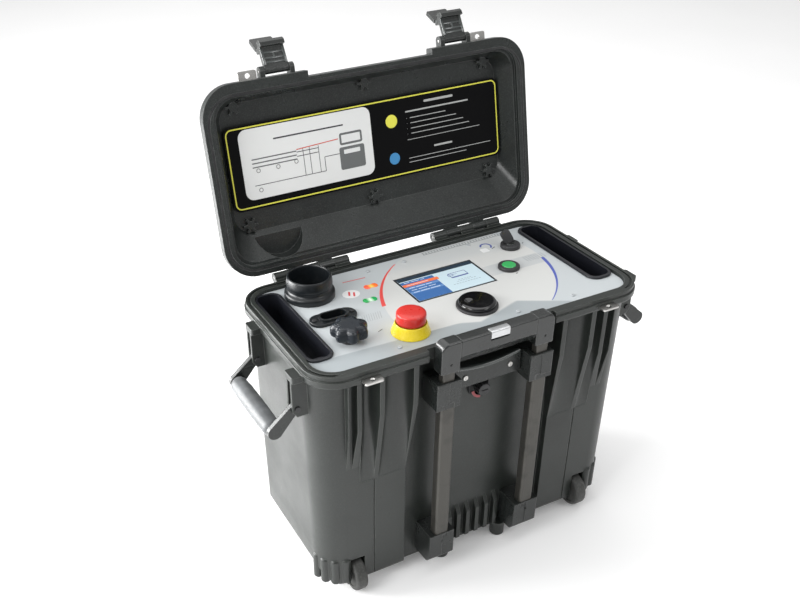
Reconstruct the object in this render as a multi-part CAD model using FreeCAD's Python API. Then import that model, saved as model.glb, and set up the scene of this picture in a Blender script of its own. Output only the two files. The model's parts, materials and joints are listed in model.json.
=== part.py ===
import FreeCAD, Part
import math
import os

# High-voltage insulation tester in a wheeled, top-loading hard case with its lid open.
# Lengths are millimetres. The case stands on its wheels and feet, +Z up, its front facing -Y.
# Every piece is modelled about the middle of the base with the lid and handles in the closed
# place, is swung to the rest place, and is moved so that the middle of the whole lies at X0 Y0.

V = FreeCAD.Vector
X_AXIS = V(1, 0, 0)
Y_AXIS = V(0, 1, 0)
Z_AXIS = V(0, 0, 1)

# ---- clearances ----
SEAT_GAP = 0.3
RUN_GAP = 0.5
PIN_GAP = 0.05
PRESS_GAP = 0.02

# ---- base case ----
RIM_HALF_X = 254.0
RIM_HALF_Y = 130.0
RIM_CORNER = 46.0
RIM_Z = 386.0
FLANGE_H = 17.0
RIM_BAND = 15.0
BODY_TOP_INSET = 4.0
BODY_LOW_INSET = 12.0
BODY_LONG_INSET = 18.0
BODY_TOP_CORNER = 42.0
BODY_LOW_CORNER = 36.0
BODY_LOW_Z = 16.0
BODY_EDGE_ROUND = 8.0
BODY_END_ROUND = 38.0
SIDE_WALL = 8.0
LONG_WALL = 16.0
FLOOR_WALL = 10.0
RIM_STEP = 2.0
RIM_STEP_H = 7.0
GROOVE_INSET = 5.0
GROOVE_W = 4.0
GROOVE_D = 3.0

# ---- fluted long sides ----
WEDGE_X0 = 111.0
WEDGE_X1 = 207.0
WEDGE_PROUD = 17.0
WEDGE_BREAK_DROP = 74.0
WEDGE_TIP_DROP = 189.0
OUTER_PROUD = 9.0
OUTER_BREAK_DROP = 96.0
OUTER_TIP_DROP = 160.0
FLUTE_X = [118.0, 159.5, 166.5, 188.0]
FLUTE_FLOOR = 5.0
OUTER_FLUTE_X = [194.0, 205.5]
OUTER_FLUTE_DEEP = 2.0
FLUTE_END_DEEP = 0.3
STEP_X = 164.5
STEP_W = 2.0
STEP_DEEP = 1.6
BUMPER_R = 7.0
BUMPER_LOW_Z = 22.0
BUMPER_TOP_Z = 66.0
BUMPER_ANGLES = [6.0, 32.0, 58.0, 84.0]

# ---- recess behind the pull handle ----
RECESS_HALF_X = 117.0
RECESS_DEPTH = 10.0
PAD_RIBS = 6
PAD_PITCH = 16.0
PAD_RIB_W = 6.0
PAD_TOP_Z = 84.0
PAD_PROUD = 9.0
FOOT_R = 11.0
FRONT_FOOT_X = 50.0
FRONT_FOOT_Y = -106.0
REAR_FOOT_X = 170.0
REAR_FOOT_Y = 84.0

# ---- wheels ----
WHEEL_R = 27.0
WHEEL_W = 18.0
WHEEL_INSET = 62.0
WHEEL_SET_BACK = 10.3
WELL_GAP = 9.0
WELL_SIDE = 2.0
WELL_WALL = 5.0
AXLE_R = 4.0
AXLE_END = 6.0

# ---- pull handle ----
TROLLEY_X = 72.0
TROLLEY_PROUD = 11.5
OUTER_TUBE_W = 22.0
OUTER_TUBE_D = 16.0
TUBE_WALL = 1.5
OUTER_TUBE_Z0 = 79.0
OUTER_TUBE_DROP = 89.0
TOP_BRACKET_W = 36.0
TOP_BRACKET_DROP = 48.0
LOW_BRACKET_W = 40.0
LOW_BRACKET_Z0 = 34.0
BRACKET_LAP = 8.0
BRACKET_STEP = 1.2
INNER_TUBE_Z0 = 96.0
GRIP_HALF_X = 86.0
GRIP_RISE = 10.0
GRIP_BAR_H = 36.0
GRIP_FACE_H = 23.0
GRIP_CHAMFER = 8.0
GRIP_LEG_H = 43.0
GRIP_DEPTH = 18.5
GRIP_CORNER = 11.0
GRIP_NOTCH_GAP = 11.0
GRIP_SEAM = 1.0
BUTTON_W = 28.0
BUTTON_D = 10.5
BUTTON_H = 10.0
BUTTON_TRAVEL = 2.5
BRACE_HALF_X = 52.0
BRACE_DROP = 47.0
BRACE_H = 33.0
BRACE_SAG = 6.0
BRACE_FRONT = 18.0
BRACE_SCREW_X = 35.0
BRACE_SCREW_DROP = 18.0
SCREW_R = 3.6

# ---- pressure valve ----
VALVE_X = 0.0
VALVE_DROP = 98.0
VALVE_SEAT_R = 17.0
VALVE_KNOB_R = 9.5
VALVE_PROUD = 15.0

# ---- side handles ----
SIDE_PIVOT_OUT = 6.0
SIDE_PIVOT_DROP = 58.0
SIDE_BRACKETS_Y = [-87.0, 41.0]
SIDE_PLATE = 4.0
SIDE_ARM_T = 6.5
SIDE_BRACKET_PROUD = 13.0
SIDE_BRACKET_DROP = 70.0
SIDE_ARM_L = 42.0
SIDE_ARM_W = 20.0
SIDE_GRIP_R = 13.0
SIDE_ROD_R = 6.0
SIDE_PIN_R = 2.5
SIDE_SWING = 45.0

# ---- lid ----
HINGE_OUT = 10.0
LID_OPEN = 102.3
LID_GAP = 0.5
LID_FLANGE_H = 16.0
LID_REAR_OUT = 2.0
LID_DOME_INSET = 7.0
LID_DOME_TAPER = 12.0
LID_DEPTH = 34.0
LID_SKIN = 10.0
LID_SLOPE_REAR = 36.0
LID_SLOPE_FRONT = 10.0
LID_SLOPE_SIDE = 14.0
LID_RELIEF_GAP = 4.0
LID_RELIEF_RISE = 1.6
BOSS_X = 200.0
BOSS_REACH = [73.5, 237.0]
BOSS_H = 5.0
LABEL_HALF_X = 221.0
LABEL_REACH0 = 95.0
LABEL_REACH1 = 211.0
LABEL_T = 2.0
LABEL_POST_X = 177.0
SEAL_W = 3.0
SEAL_OUT = 2.2
SEAL_IN = 2.5

# ---- hinge knuckles ----
KNUCKLE_X0 = 72.0
KNUCKLE_X1 = 190.0
KNUCKLES = 5
KNUCKLE_R = 7.0
HINGE_PIN_R = 2.5
HINGE_PIN_LAP = 1.0

# ---- padlock plates ----
PADLOCK_X = 180.0
PADLOCK_W = 26.0
PADLOCK_T = 2.5
PADLOCK_HOLE_R = 3.5
PADLOCK_EDGE = 3.0
PADLOCK_OUT = 11.5
PADLOCK_IN = 9.0
PADLOCK_DROP = 13.0

# ---- lid latches ----
LATCH_X = 139.0
LATCH_W = 35.0
LATCH_PIVOT_OUT = 7.5
LATCH_PIVOT_UP = 10.0
LATCH_BARREL_R = 5.0
LATCH_PIN_R = 2.0
LATCH_EAR_T = 7.0
LATCH_PLATE_T = 4.5
LATCH_ARM_DROP = 28.0
HOOK_REACH = 7.0
HOOK_DROP = 2.0
LEVER_W = 24.0
LEVER_PIVOT_DROP = 18.0
LEVER_PIVOT_OUT = 13.6
LEVER_BARREL_R = 3.8
LEVER_T = 4.5
LEVER_DROP = 48.0
LEVER_EAR_T = 4.0
LATCH_OPEN = 111.0
LEVER_OPEN = 39.0

# ---- control panel ----
PANEL_T = 3.0
PANEL_DROP = 5.0
PANEL_FIT = 0.6
CUT_UNDER = 9.0
LEDGE_W = 11.0
TRAY_EDGE = 3.0
TRAY_W = 35.0
TRAY_FRONT_EDGE = 39.0
TRAY_REAR_EDGE = 10.0
TRAY_CORNER = 13.0
TRAY_WALL = 2.0
TRAY_LIP = 2.5
TRAY_LIP_H = 3.0
TRAY_DEPTH = 45.0
TRAY_STEP_L = 20.0
TRAY_STEP_DROP = 13.0
HV_X = -162.0
HV_Y = 79.0
HV_BASE_R = 35.0
HV_MID_R = 33.0
HV_TOP_R = 30.0
HV_BORE_R = 24.0
HV_WALL = 2.0
HV_STEPS = [8.0, 19.0, 32.0]
HV_BARREL_DEPTH = 40.0
HV_PIN_R = 4.0
AUX_X = -162.0
AUX_Y = 7.0
AUX_HALF_L = 33.5
AUX_HALF_W = 14.5
AUX_H = 7.0
AUX_SOCKET_HALF_L = 18.0
AUX_SOCKET_HALF_W = 8.0
AUX_SCREW_X = 27.5
AUX_PIN_R = 2.0
AUX_PIN_PITCH = 10.0
AUX_DEPTH = 24.0
KNOB_X = -168.0
KNOB_Y = -50.0
KNOB_LOBE_R = 19.0
KNOB_LOBES = 7
KNOB_R = 25.0
KNOB_H = 18.0
STUD_R = 4.0
STUD_UNDER = 22.0
STUD_SHORT = 8.0
WASHER_R = 10.0
WASHER_T = 2.0
ESTOP_X = -89.0
ESTOP_Y = -70.0
COLLAR_R0 = 26.0
COLLAR_R1 = 21.0
COLLAR_H = 15.0
CAP_R = 19.5
CAP_H = 11.0
CAP_STEM_R = 9.0
CAP_TRAVEL = 4.0
SWITCH_BLOCK = 30.0
SWITCH_BLOCK_H = 26.0
JOG_X = 22.0
JOG_Y = -56.0
JOG_BASE_R = 28.5
JOG_KNOB_R = 25.5
JOG_KNOB_H = 6.0
JOG_SHAFT_R = 3.0
START_X = 121.5
START_Y = 12.0
START_BEZEL_R = 15.6
START_LENS_R = 11.0
START_H = 4.5
START_TRAVEL = 2.5
KEY_X = 161.5
KEY_Y = 65.0
KEY_BEZEL_R = 14.7
KEY_BARREL_R = 8.0
KEY_H = 6.0
KEY_BOW_H = 18.0
KEY_BOW_W = 16.0
DISPLAY_X = 22.5
DISPLAY_Y = 24.5
DISPLAY_HALF_X = 64.0
DISPLAY_HALF_Y = 36.0
DISPLAY_LEDGE = 4.0
DISPLAY_FRAME = 3.0
DISPLAY_DEPTH = 12.0
DISPLAY_DROP = 0.4
DISPLAY_WELL = 2.5
LAMPS = [(-77.0, 60.0), (-96.0, 27.0)]
LAMP_R = 3.8
LAMP_PITCH = 11.0
PANEL_SCREWS = [(-120.0, -96.0), (60.0, -96.0), (150.0, -96.0)]
PANEL_SCREWS += [(-60.0, 100.0), (0.0, 100.0), (110.0, 100.0)]
PANEL_SCREW_R = 3.0

# ---- inside the case ----
CHASSIS_T = 2.0
CHASSIS_EDGE_X = 37.0
CHASSIS_EDGE_Y = 28.0
CHASSIS_WALL_H = 272.0
TRANSFORMER = (130.0, 120.0, 150.0)
TRANSFORMER_X = -100.0
STACK_X = 20.0
STACK_R = 34.0
STACK_H = 170.0
SUPPLY = (110.0, 110.0, 90.0)
SUPPLY_X = 125.0
BOARD_DROP = 32.0
BOARD_T = 1.6
BOARD_CHIPS = [(12, 10, 24, 24, 4), (60, 40, 40, 12, 7), (90, 12, 14, 20, 3), (20, 48, 30, 9, 9)]

# ---- derived places ----
BODY_TOP_HALF_X = RIM_HALF_X - BODY_TOP_INSET
BODY_LOW_HALF_X = RIM_HALF_X - BODY_LOW_INSET
BODY_HALF_Y = RIM_HALF_Y - BODY_LONG_INSET
WEDGE_BREAK_Z = RIM_Z - WEDGE_BREAK_DROP
WEDGE_TIP_Z = RIM_Z - WEDGE_TIP_DROP
OUTER_BREAK_Z = RIM_Z - OUTER_BREAK_DROP
OUTER_TIP_Z = RIM_Z - OUTER_TIP_DROP
WHEEL_X = RIM_HALF_X - WHEEL_INSET
WHEEL_Y = -(BODY_HALF_Y - WHEEL_SET_BACK)
TROLLEY_FRONT_Y = -(RIM_HALF_Y + TROLLEY_PROUD)
OUTER_TUBE_Z1 = RIM_Z - OUTER_TUBE_DROP
TOP_BRACKET_Z1 = RIM_Z - TOP_BRACKET_DROP
GRIP_TOP_Z = RIM_Z + GRIP_RISE
GRIP_LEG_Z0 = GRIP_TOP_Z - GRIP_LEG_H
BRACE_Z1 = RIM_Z - BRACE_DROP
BRACE_Z0 = BRACE_Z1 - BRACE_H
BRACE_SCREW_Z = BRACE_Z1 - BRACE_SCREW_DROP
VALVE_Z = RIM_Z - VALVE_DROP
SIDE_PIVOT_X = RIM_HALF_X + SIDE_PIVOT_OUT
SIDE_PIVOT_Z = RIM_Z - SIDE_PIVOT_DROP
SIDE_BRACKET_OUT = RIM_HALF_X + SIDE_BRACKET_PROUD
SIDE_BRACKET_Z0 = RIM_Z - SIDE_BRACKET_DROP
HINGE_Y = RIM_HALF_Y + HINGE_OUT
LID_REAR_Y = RIM_HALF_Y + LID_REAR_OUT
LATCH_ARM_LOW_Z = RIM_Z - LATCH_ARM_DROP
LEVER_PIVOT_Z = RIM_Z - LEVER_PIVOT_DROP
LEVER_LOW_Z = RIM_Z - LEVER_DROP
FLANGE_Z0 = RIM_Z - FLANGE_H
OPEN_HALF_X = RIM_HALF_X - RIM_BAND
OPEN_HALF_Y = RIM_HALF_Y - RIM_BAND
OPEN_CORNER = RIM_CORNER - RIM_BAND
PANEL_Z = RIM_Z - PANEL_DROP
LEDGE_Z = PANEL_Z - PANEL_T - SEAT_GAP
CAVITY_Z = BODY_LOW_Z + FLOOR_WALL
TRAY_X1 = OPEN_HALF_X - TRAY_EDGE
TRAY_X0 = TRAY_X1 - TRAY_W
TRAY_Y0 = -(OPEN_HALF_Y - TRAY_FRONT_EDGE)
TRAY_Y1 = OPEN_HALF_Y - TRAY_REAR_EDGE
CHASSIS_HALF_X = BODY_LOW_HALF_X - CHASSIS_EDGE_X
CHASSIS_HALF_Y = BODY_HALF_Y - CHASSIS_EDGE_Y
HINGE_Z = RIM_Z
HINGE = V(0, HINGE_Y, HINGE_Z)
LID_Z0 = RIM_Z + LID_GAP
LID_FRONT_Y = -RIM_HALF_Y
RECESS_Y = -(BODY_HALF_Y - RECESS_DEPTH)
GRIP_REAR_Y = TROLLEY_FRONT_Y + GRIP_DEPTH
NOTCH_Y = GRIP_REAR_Y + 2 * RUN_GAP
TUBE_Y = TROLLEY_FRONT_Y + GRIP_DEPTH / 2
LATCH_PIVOT = V(0, LID_FRONT_Y - LATCH_PIVOT_OUT, RIM_Z + LATCH_PIVOT_UP)
LEVER_PIVOT = V(0, LID_FRONT_Y - LEVER_PIVOT_OUT, LEVER_PIVOT_Z)
WHEEL_Z = WHEEL_R


# ---- shape helpers ----
def box(x0, x1, y0, y1, z0, z1):
    """Box between two corners."""
    return Part.makeBox(x1 - x0, y1 - y0, z1 - z0, V(x0, y0, z0))


def rod(radius, start, direction, length):
    """Cylinder from a point along a direction."""
    return Part.makeCylinder(radius, length, start, direction)


def ring(outer, inner, start, direction, length):
    """Tube from a point along a direction."""
    return rod(outer, start, direction, length).cut(rod(inner, start, direction, length))


def round_wire(x0, x1, y0, y1, radius, z):
    """Closed rounded rectangle in a level plane."""
    r = min(radius, (x1 - x0) / 2 - 0.01, (y1 - y0) / 2 - 0.01)
    k = r * (1 - math.sqrt(0.5))
    stops = [(x0 + r, y0), (x1 - r, y0), (x1, y0 + r), (x1, y1 - r)]
    stops += [(x1 - r, y1), (x0 + r, y1), (x0, y1 - r), (x0, y0 + r)]
    mids = [(x1 - k, y0 + k), (x1 - k, y1 - k), (x0 + k, y1 - k), (x0 + k, y0 + k)]
    edges = []
    for i in range(4):
        a, b, c = stops[2 * i], stops[2 * i + 1], stops[(2 * i + 2) % 8]
        edges.append(Part.LineSegment(V(a[0], a[1], z), V(b[0], b[1], z)).toShape())
        m = mids[i]
        edges.append(Part.Arc(V(b[0], b[1], z), V(m[0], m[1], z), V(c[0], c[1], z)).toShape())
    return Part.Wire(edges)


def round_slab(x0, x1, y0, y1, radius, z0, z1):
    """Upright block with rounded vertical corners."""
    return Part.Face(round_wire(x0, x1, y0, y1, radius, z0)).extrude(V(0, 0, z1 - z0))


def slab(half_x, half_y, radius, z0, z1):
    """Rounded block about the middle."""
    return round_slab(-half_x, half_x, -half_y, half_y, radius, z0, z1)


def taper(lower, upper):
    """Straight-walled solid between two closed wires."""
    return Part.makeLoft([lower, upper], True, True)


def prism_x(points, x0, x1):
    """Solid with a (y, z) outline, run along X."""
    wire = Part.makePolygon([V(x0, y, z) for y, z in points + points[:1]])
    return Part.Face(wire).extrude(V(x1 - x0, 0, 0))


def prism_y(points, y0, y1):
    """Solid with an (x, z) outline, run along Y."""
    wire = Part.makePolygon([V(x, y0, z) for x, z in points + points[:1]])
    return Part.Face(wire).extrude(V(0, y1 - y0, 0))


def fuse_all(shapes):
    """One solid from many that overlap."""
    first = shapes[0]
    return first.fuse(shapes[1:]).removeSplitter() if len(shapes) > 1 else first


def flip_x(shape):
    """Mirror image across the middle plane X0."""
    return shape.mirror(V(0, 0, 0), X_AXIS)


def flip_y(shape):
    """Mirror image across the middle plane Y0."""
    return shape.mirror(V(0, 0, 0), Y_AXIS)


def pair(shape):
    """The shape and its mirror image in one node."""
    return Part.makeCompound([shape, flip_x(shape)])


def soften(shape, radius, keep):
    """Round every edge that the test keeps."""
    edges = [edge for edge in shape.Edges if keep(edge)]
    return shape.makeFillet(radius, edges) if edges else shape


def at_height(z, tol=0.01):
    """Edge test: the whole edge lies at one height."""
    return lambda e: abs(e.BoundBox.ZMin - z) < tol and abs(e.BoundBox.ZMax - z) < tol


def opened(shape):
    """A lid piece swung from closed to the rest place."""
    done = shape.copy()
    done.rotate(HINGE, X_AXIS, -LID_OPEN)
    return done


def latch_place(shape, lever, side):
    """A latch piece swung open about its pins, then up with the lid."""
    done = shape.copy()
    if lever:
        done.rotate(LEVER_PIVOT, X_AXIS, -LEVER_OPEN)
    done.rotate(LATCH_PIVOT, X_AXIS, -LATCH_OPEN)
    done.translate(V(side * LATCH_X, 0, 0))
    return opened(done)


# ---- base case ----
def wedge(x0, x1, proud, break_z, tip_z):
    """Thickened zone under the rim that slopes back into the wall."""
    wall = -BODY_HALF_Y
    outline = [(wall + 2, FLANGE_Z0 + 1), (wall - proud, FLANGE_Z0 + 1), (wall - proud, break_z)]
    outline += [(wall, tip_z), (wall + 2, tip_z)]
    return prism_x(outline, x0, x1)


def flute_wire(x0, x1, crest, deep, z):
    """U-shaped section of a flute, closed well outside the wall."""
    curve = Part.BezierCurve()
    bulge = crest + deep * 4 / 3
    curve.setPoles([V(x0, crest, z), V(x0, bulge, z), V(x1, bulge, z), V(x1, crest, z)])
    out = crest - 2 * WEDGE_PROUD
    rim = Part.makePolygon([V(x1, crest, z), V(x1, out, z), V(x0, out, z), V(x0, crest, z)])
    return Part.Wire([curve.toShape()] + rim.Edges)


def flute(top, low, proud, deep, break_z, tip_z):
    """Hollow between two ribs, deep at the rim and gone at its lower tip."""
    wall = -BODY_HALF_Y
    crest = wall - proud
    upper = [flute_wire(*top, crest, proud + deep, z) for z in (break_z, FLANGE_Z0)]
    lower = flute_wire(*low, wall, FLUTE_END_DEEP, tip_z)
    return taper(upper[0], upper[1]).fuse(taper(lower, upper[0]))


def flutes():
    """All hollows of one long side, both halves."""
    rights = []
    for span in (FLUTE_X[:2], FLUTE_X[2:]):
        rights.append(flute(span, span, WEDGE_PROUD, FLUTE_FLOOR, WEDGE_BREAK_Z, WEDGE_TIP_Z))
    x0, x1 = OUTER_FLUTE_X
    mid = (x0 + x1) / 2
    low = (mid - 1, mid + 1)
    rights.append(flute((x0, x1), low, OUTER_PROUD, OUTER_FLUTE_DEEP, OUTER_BREAK_Z, OUTER_TIP_Z))
    wall = -BODY_HALF_Y
    rights.append(box(STEP_X, STEP_X + STEP_W, wall - 1, wall + STEP_DEEP, BODY_LOW_Z, WEDGE_TIP_Z))
    return rights + [flip_x(s) for s in rights]


def end_rounding():
    """Long bar whose lower side edges are rounded, to trim the ends of the body."""
    r, half, low = BODY_END_ROUND, BODY_LOW_HALF_X, BODY_LOW_Z
    k = r * (1 - math.sqrt(0.5))
    y = -BODY_HALF_Y - 1
    lean = RIM_HALF_X + 10
    pts = [V(-half + r, y, low), V(half - r, y, low), V(half, y, low + r), V(lean, y, RIM_Z)]
    pts += [V(-lean, y, RIM_Z), V(-half, y, low + r)]
    edges = [Part.LineSegment(pts[0], pts[1]).toShape()]
    edges.append(Part.Arc(pts[1], V(half - k, y, low + k), pts[2]).toShape())
    for a, b in ((2, 3), (3, 4), (4, 5)):
        edges.append(Part.LineSegment(pts[a], pts[b]).toShape())
    edges.append(Part.Arc(pts[5], V(-half + k, y, low + k), pts[0]).toShape())
    return Part.Face(Part.Wire(edges)).extrude(V(0, 2 * BODY_HALF_Y + 2, 0))


def recess_space():
    """Space cut out of the front wall, a little narrower under the rim."""
    low, wide, slim = BODY_LOW_Z - 1, RECESS_HALF_X, WEDGE_X0
    right = [(wide, low), (wide, WEDGE_TIP_Z), (slim, WEDGE_BREAK_Z), (slim, FLANGE_Z0)]
    outline = right + [(-x, z) for x, z in reversed(right)]
    return prism_y(outline, -BODY_HALF_Y - WEDGE_PROUD - 1, RECESS_Y)


def corner_bumpers():
    """Rounded vertical bars round the two bottom front corners."""
    parts = []
    cx, cy = BODY_LOW_HALF_X - BODY_LOW_CORNER, -(BODY_HALF_Y - BODY_LOW_CORNER)
    reach = BODY_LOW_CORNER - BUMPER_R / 2
    for angle in BUMPER_ANGLES:
        a = math.radians(angle)
        spot = V(cx + reach * math.sin(a), cy - reach * math.cos(a), BUMPER_LOW_Z)
        bar = rod(BUMPER_R, spot, Z_AXIS, BUMPER_TOP_Z - spot.z)
        bar = soften(bar, 3.0, at_height(BUMPER_TOP_Z))
        bar = soften(bar, 3.0, at_height(spot.z))
        parts += [bar, flip_x(bar)]
    return parts


def recess_pad():
    """Ribbed scuff pad at the foot of the recess."""
    low, front = BODY_LOW_Z + 2, RECESS_Y - PAD_PROUD
    outline = [(RECESS_Y + 2, low), (front, low + 6), (front, PAD_TOP_Z - 14)]
    outline += [(RECESS_Y + 0.5, PAD_TOP_Z), (RECESS_Y + 2, PAD_TOP_Z)]
    first = -(PAD_RIBS - 1) / 2 * PAD_PITCH
    bars = [first + i * PAD_PITCH for i in range(PAD_RIBS)]
    return [prism_x(outline, x - PAD_RIB_W / 2, x + PAD_RIB_W / 2) for x in bars]


def side_bracket_plates(y0):
    """Two plates that hold one end of the right side handle, with the bump above them."""
    inner = BODY_LOW_HALF_X - 4
    out, low = SIDE_BRACKET_OUT, SIDE_BRACKET_Z0
    outline = [(inner, low), (out - 6, low), (out, low + 8), (out, FLANGE_Z0 + 1), (inner, FLANGE_Z0 + 1)]
    slot = SIDE_ARM_T + 2 * RUN_GAP
    plates = [prism_y(outline, y, y + SIDE_PLATE) for y in (y0, y0 + SIDE_PLATE + slot)]
    width = 2 * SIDE_PLATE + slot
    bump = round_slab(inner, out, y0 - 4, y0 + width + 4, 3, FLANGE_Z0, FLANGE_Z0 + FLANGE_H / 2)
    return plates + [bump]


def base_knuckle_spans():
    """X spans of the knuckles that belong to the base."""
    pitch = (KNUCKLE_X1 - KNUCKLE_X0) / KNUCKLES
    return [(KNUCKLE_X0 + i * pitch, KNUCKLE_X0 + (i + 1) * pitch - RUN_GAP) for i in range(0, KNUCKLES, 2)]


def lid_knuckle_spans():
    """X spans of the knuckles that belong to the lid."""
    pitch = (KNUCKLE_X1 - KNUCKLE_X0) / KNUCKLES
    return [(KNUCKLE_X0 + i * pitch, KNUCKLE_X0 + (i + 1) * pitch - RUN_GAP) for i in range(1, KNUCKLES, 2)]


def hinge_bore(radius):
    """Hole through one group of hinge knuckles."""
    return rod(radius, V(KNUCKLE_X0 - 1, HINGE_Y, HINGE_Z), X_AXIS, KNUCKLE_X1 - KNUCKLE_X0 + 1)


def wheel_house(side):
    """Solid corner block that carries one wheel, and the space cut out of it."""
    half = WHEEL_W / 2 + WELL_SIDE
    reach = WHEEL_R + WELL_GAP
    x0, x1 = WHEEL_X - half - WELL_WALL, WHEEL_X + half + WELL_WALL
    far = reach + WELL_WALL
    block = box(x0, x1, -BODY_HALF_Y + 1, WHEEL_Y + far, BODY_LOW_Z, WHEEL_Z + far)
    space = rod(reach, V(WHEEL_X - half, WHEEL_Y, WHEEL_Z), X_AXIS, 2 * half)
    space = space.fuse(box(WHEEL_X - half, WHEEL_X + half, WHEEL_Y - reach, WHEEL_Y + reach, -1, WHEEL_Z))
    bore = rod(AXLE_R + PRESS_GAP, V(x0 + 1, WHEEL_Y, WHEEL_Z), X_AXIS, x1 - x0 - 2)
    space = space.fuse(bore)
    return (block, space) if side > 0 else (flip_x(block), flip_x(space))


def base_shell():
    """Moulded lower case with rim, ribs, wells, recess and brackets."""
    half_y = BODY_HALF_Y
    low = round_wire(-BODY_LOW_HALF_X, BODY_LOW_HALF_X, -half_y, half_y, BODY_LOW_CORNER, BODY_LOW_Z)
    top = round_wire(-BODY_TOP_HALF_X, BODY_TOP_HALF_X, -half_y, half_y, BODY_TOP_CORNER, FLANGE_Z0 + 1)
    core = taper(low, top)
    core = soften(core, BODY_EDGE_ROUND, at_height(BODY_LOW_Z)).common(end_rounding())
    flange = slab(RIM_HALF_X, RIM_HALF_Y, RIM_CORNER, FLANGE_Z0, RIM_Z)
    flange = soften(flange, 3.0, at_height(FLANGE_Z0))
    flange = flange.cut(slab(RIM_HALF_X + 1, RIM_HALF_Y + 1, RIM_CORNER, RIM_Z - RIM_STEP_H, RIM_Z + 1)
                        .cut(slab(RIM_HALF_X - RIM_STEP, RIM_HALF_Y - RIM_STEP, RIM_CORNER - RIM_STEP,
                                  RIM_Z - RIM_STEP_H, RIM_Z + 1)))
    split = FLUTE_X[3] - 0.5
    for values in ((WEDGE_X0, split, WEDGE_PROUD, WEDGE_BREAK_Z, WEDGE_TIP_Z),
                   (split - 1, WEDGE_X1, OUTER_PROUD, OUTER_BREAK_Z, OUTER_TIP_Z)):
        thick = wedge(*values)
        core = core.fuse([thick, flip_x(thick), flip_y(thick), flip_y(flip_x(thick))])
    for cut in flutes():
        core = core.cut([cut, flip_y(cut)])
    shell = core.cut(recess_space())
    adds = [flange] + recess_pad() + corner_bumpers()
    for y0 in SIDE_BRACKETS_Y:
        for plate in side_bracket_plates(y0):
            adds += [plate, flip_x(plate)]
    for x0, x1 in base_knuckle_spans():
        barrel = rod(KNUCKLE_R, V(x0, HINGE_Y, HINGE_Z), X_AXIS, x1 - x0)
        arm = box(x0, x1, RIM_HALF_Y - 4, HINGE_Y, HINGE_Z - KNUCKLE_R, HINGE_Z)
        adds += [barrel, arm, flip_x(barrel), flip_x(arm)]
    for x, y in [(FRONT_FOOT_X, FRONT_FOOT_Y), (REAR_FOOT_X, REAR_FOOT_Y)]:
        foot = rod(FOOT_R, V(x, y, 0), Z_AXIS, CAVITY_Z - 2)
        foot = soften(foot, 3.0, at_height(0))
        adds += [foot, flip_x(foot)]
    shell = shell.fuse(adds)
    room_y = BODY_HALF_Y - LONG_WALL
    room_low, room_top = BODY_LOW_HALF_X - SIDE_WALL, BODY_TOP_HALF_X - SIDE_WALL - LEDGE_W
    corner = BODY_LOW_CORNER - SIDE_WALL
    cavity = taper(round_wire(-room_low, room_low, -room_y, room_y, corner, CAVITY_Z),
                   round_wire(-room_top, room_top, -room_y, room_y, corner, LEDGE_Z + 1))
    shell = shell.cut(cavity)
    shell = shell.cut(slab(OPEN_HALF_X, OPEN_HALF_Y, OPEN_CORNER, LEDGE_Z, RIM_Z + 1))
    for room in (hv_room(), tray_room(), flip_x(tray_room())):
        shell = shell.cut(room)
    groove = slab(RIM_HALF_X - GROOVE_INSET, RIM_HALF_Y - GROOVE_INSET, RIM_CORNER - GROOVE_INSET,
                  RIM_Z - GROOVE_D, RIM_Z + 1)
    inset = GROOVE_INSET + GROOVE_W
    groove = groove.cut(slab(RIM_HALF_X - inset, RIM_HALF_Y - inset, RIM_CORNER - inset,
                             RIM_Z - GROOVE_D, RIM_Z + 1))
    groove = groove.cut(box(-RIM_HALF_X, RIM_HALF_X, -RIM_HALF_Y - 1, -RIM_HALF_Y + inset, 0, RIM_Z + 2))
    shell = shell.cut(groove)
    notch = GRIP_HALF_X + GRIP_NOTCH_GAP
    shell = shell.cut(box(-notch, notch, -RIM_HALF_Y - 30, NOTCH_Y, FLANGE_Z0 - 1, RIM_Z + 1))
    for side in (1, -1):
        block, space = wheel_house(side)
        shell = shell.fuse(block).cut(space)
        base = V(side * PADLOCK_X, 0, 0)
        shell = shell.cut(padlock_pocket().translate(base))
    for x0, x1 in lid_knuckle_spans():
        clear = rod(KNUCKLE_R + RUN_GAP, V(x0 - RUN_GAP, HINGE_Y, HINGE_Z), X_AXIS, x1 - x0 + 2 * RUN_GAP)
        shell = shell.cut(clear).cut(flip_x(clear))
    bore = hinge_bore(HINGE_PIN_R + PRESS_GAP)
    shell = shell.cut(bore).cut(flip_x(bore))
    for y0 in SIDE_BRACKETS_Y:
        length = 2 * SIDE_PLATE + SIDE_ARM_T + 2 * RUN_GAP + 2
        hole = rod(SIDE_PIN_R + PRESS_GAP, V(SIDE_PIVOT_X, y0 - 1, SIDE_PIVOT_Z), Y_AXIS, length)
        slot = box(BODY_TOP_HALF_X, SIDE_BRACKET_OUT + 1, y0 + SIDE_PLATE,
                   y0 + SIDE_PLATE + SIDE_ARM_T + 2 * RUN_GAP, SIDE_BRACKET_Z0 - 1, FLANGE_Z0)
        shell = shell.cut(hole).cut(flip_x(hole)).cut(slot).cut(flip_x(slot))
    seat = rod(VALVE_SEAT_R + SEAT_GAP, V(VALVE_X, RECESS_Y - 1, VALVE_Z), Y_AXIS, 1 + RECESS_DEPTH / 2)
    shell = shell.cut(seat)
    return shell.removeSplitter()


def hv_room():
    """Room in the wall for the barrel of the high-voltage socket."""
    depth = HV_BARREL_DEPTH + RUN_GAP
    return rod(HV_BORE_R + HV_WALL + RUN_GAP, V(HV_X, HV_Y, PANEL_Z - depth), Z_AXIS, depth)


def tray_room():
    """Room in the wall for the right tray."""
    g = RUN_GAP
    return round_slab(TRAY_X0 - g, TRAY_X1 + g, TRAY_Y0 - g, TRAY_Y1 + g, TRAY_CORNER,
                      PANEL_Z - TRAY_DEPTH - g, LEDGE_Z + 1)


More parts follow.
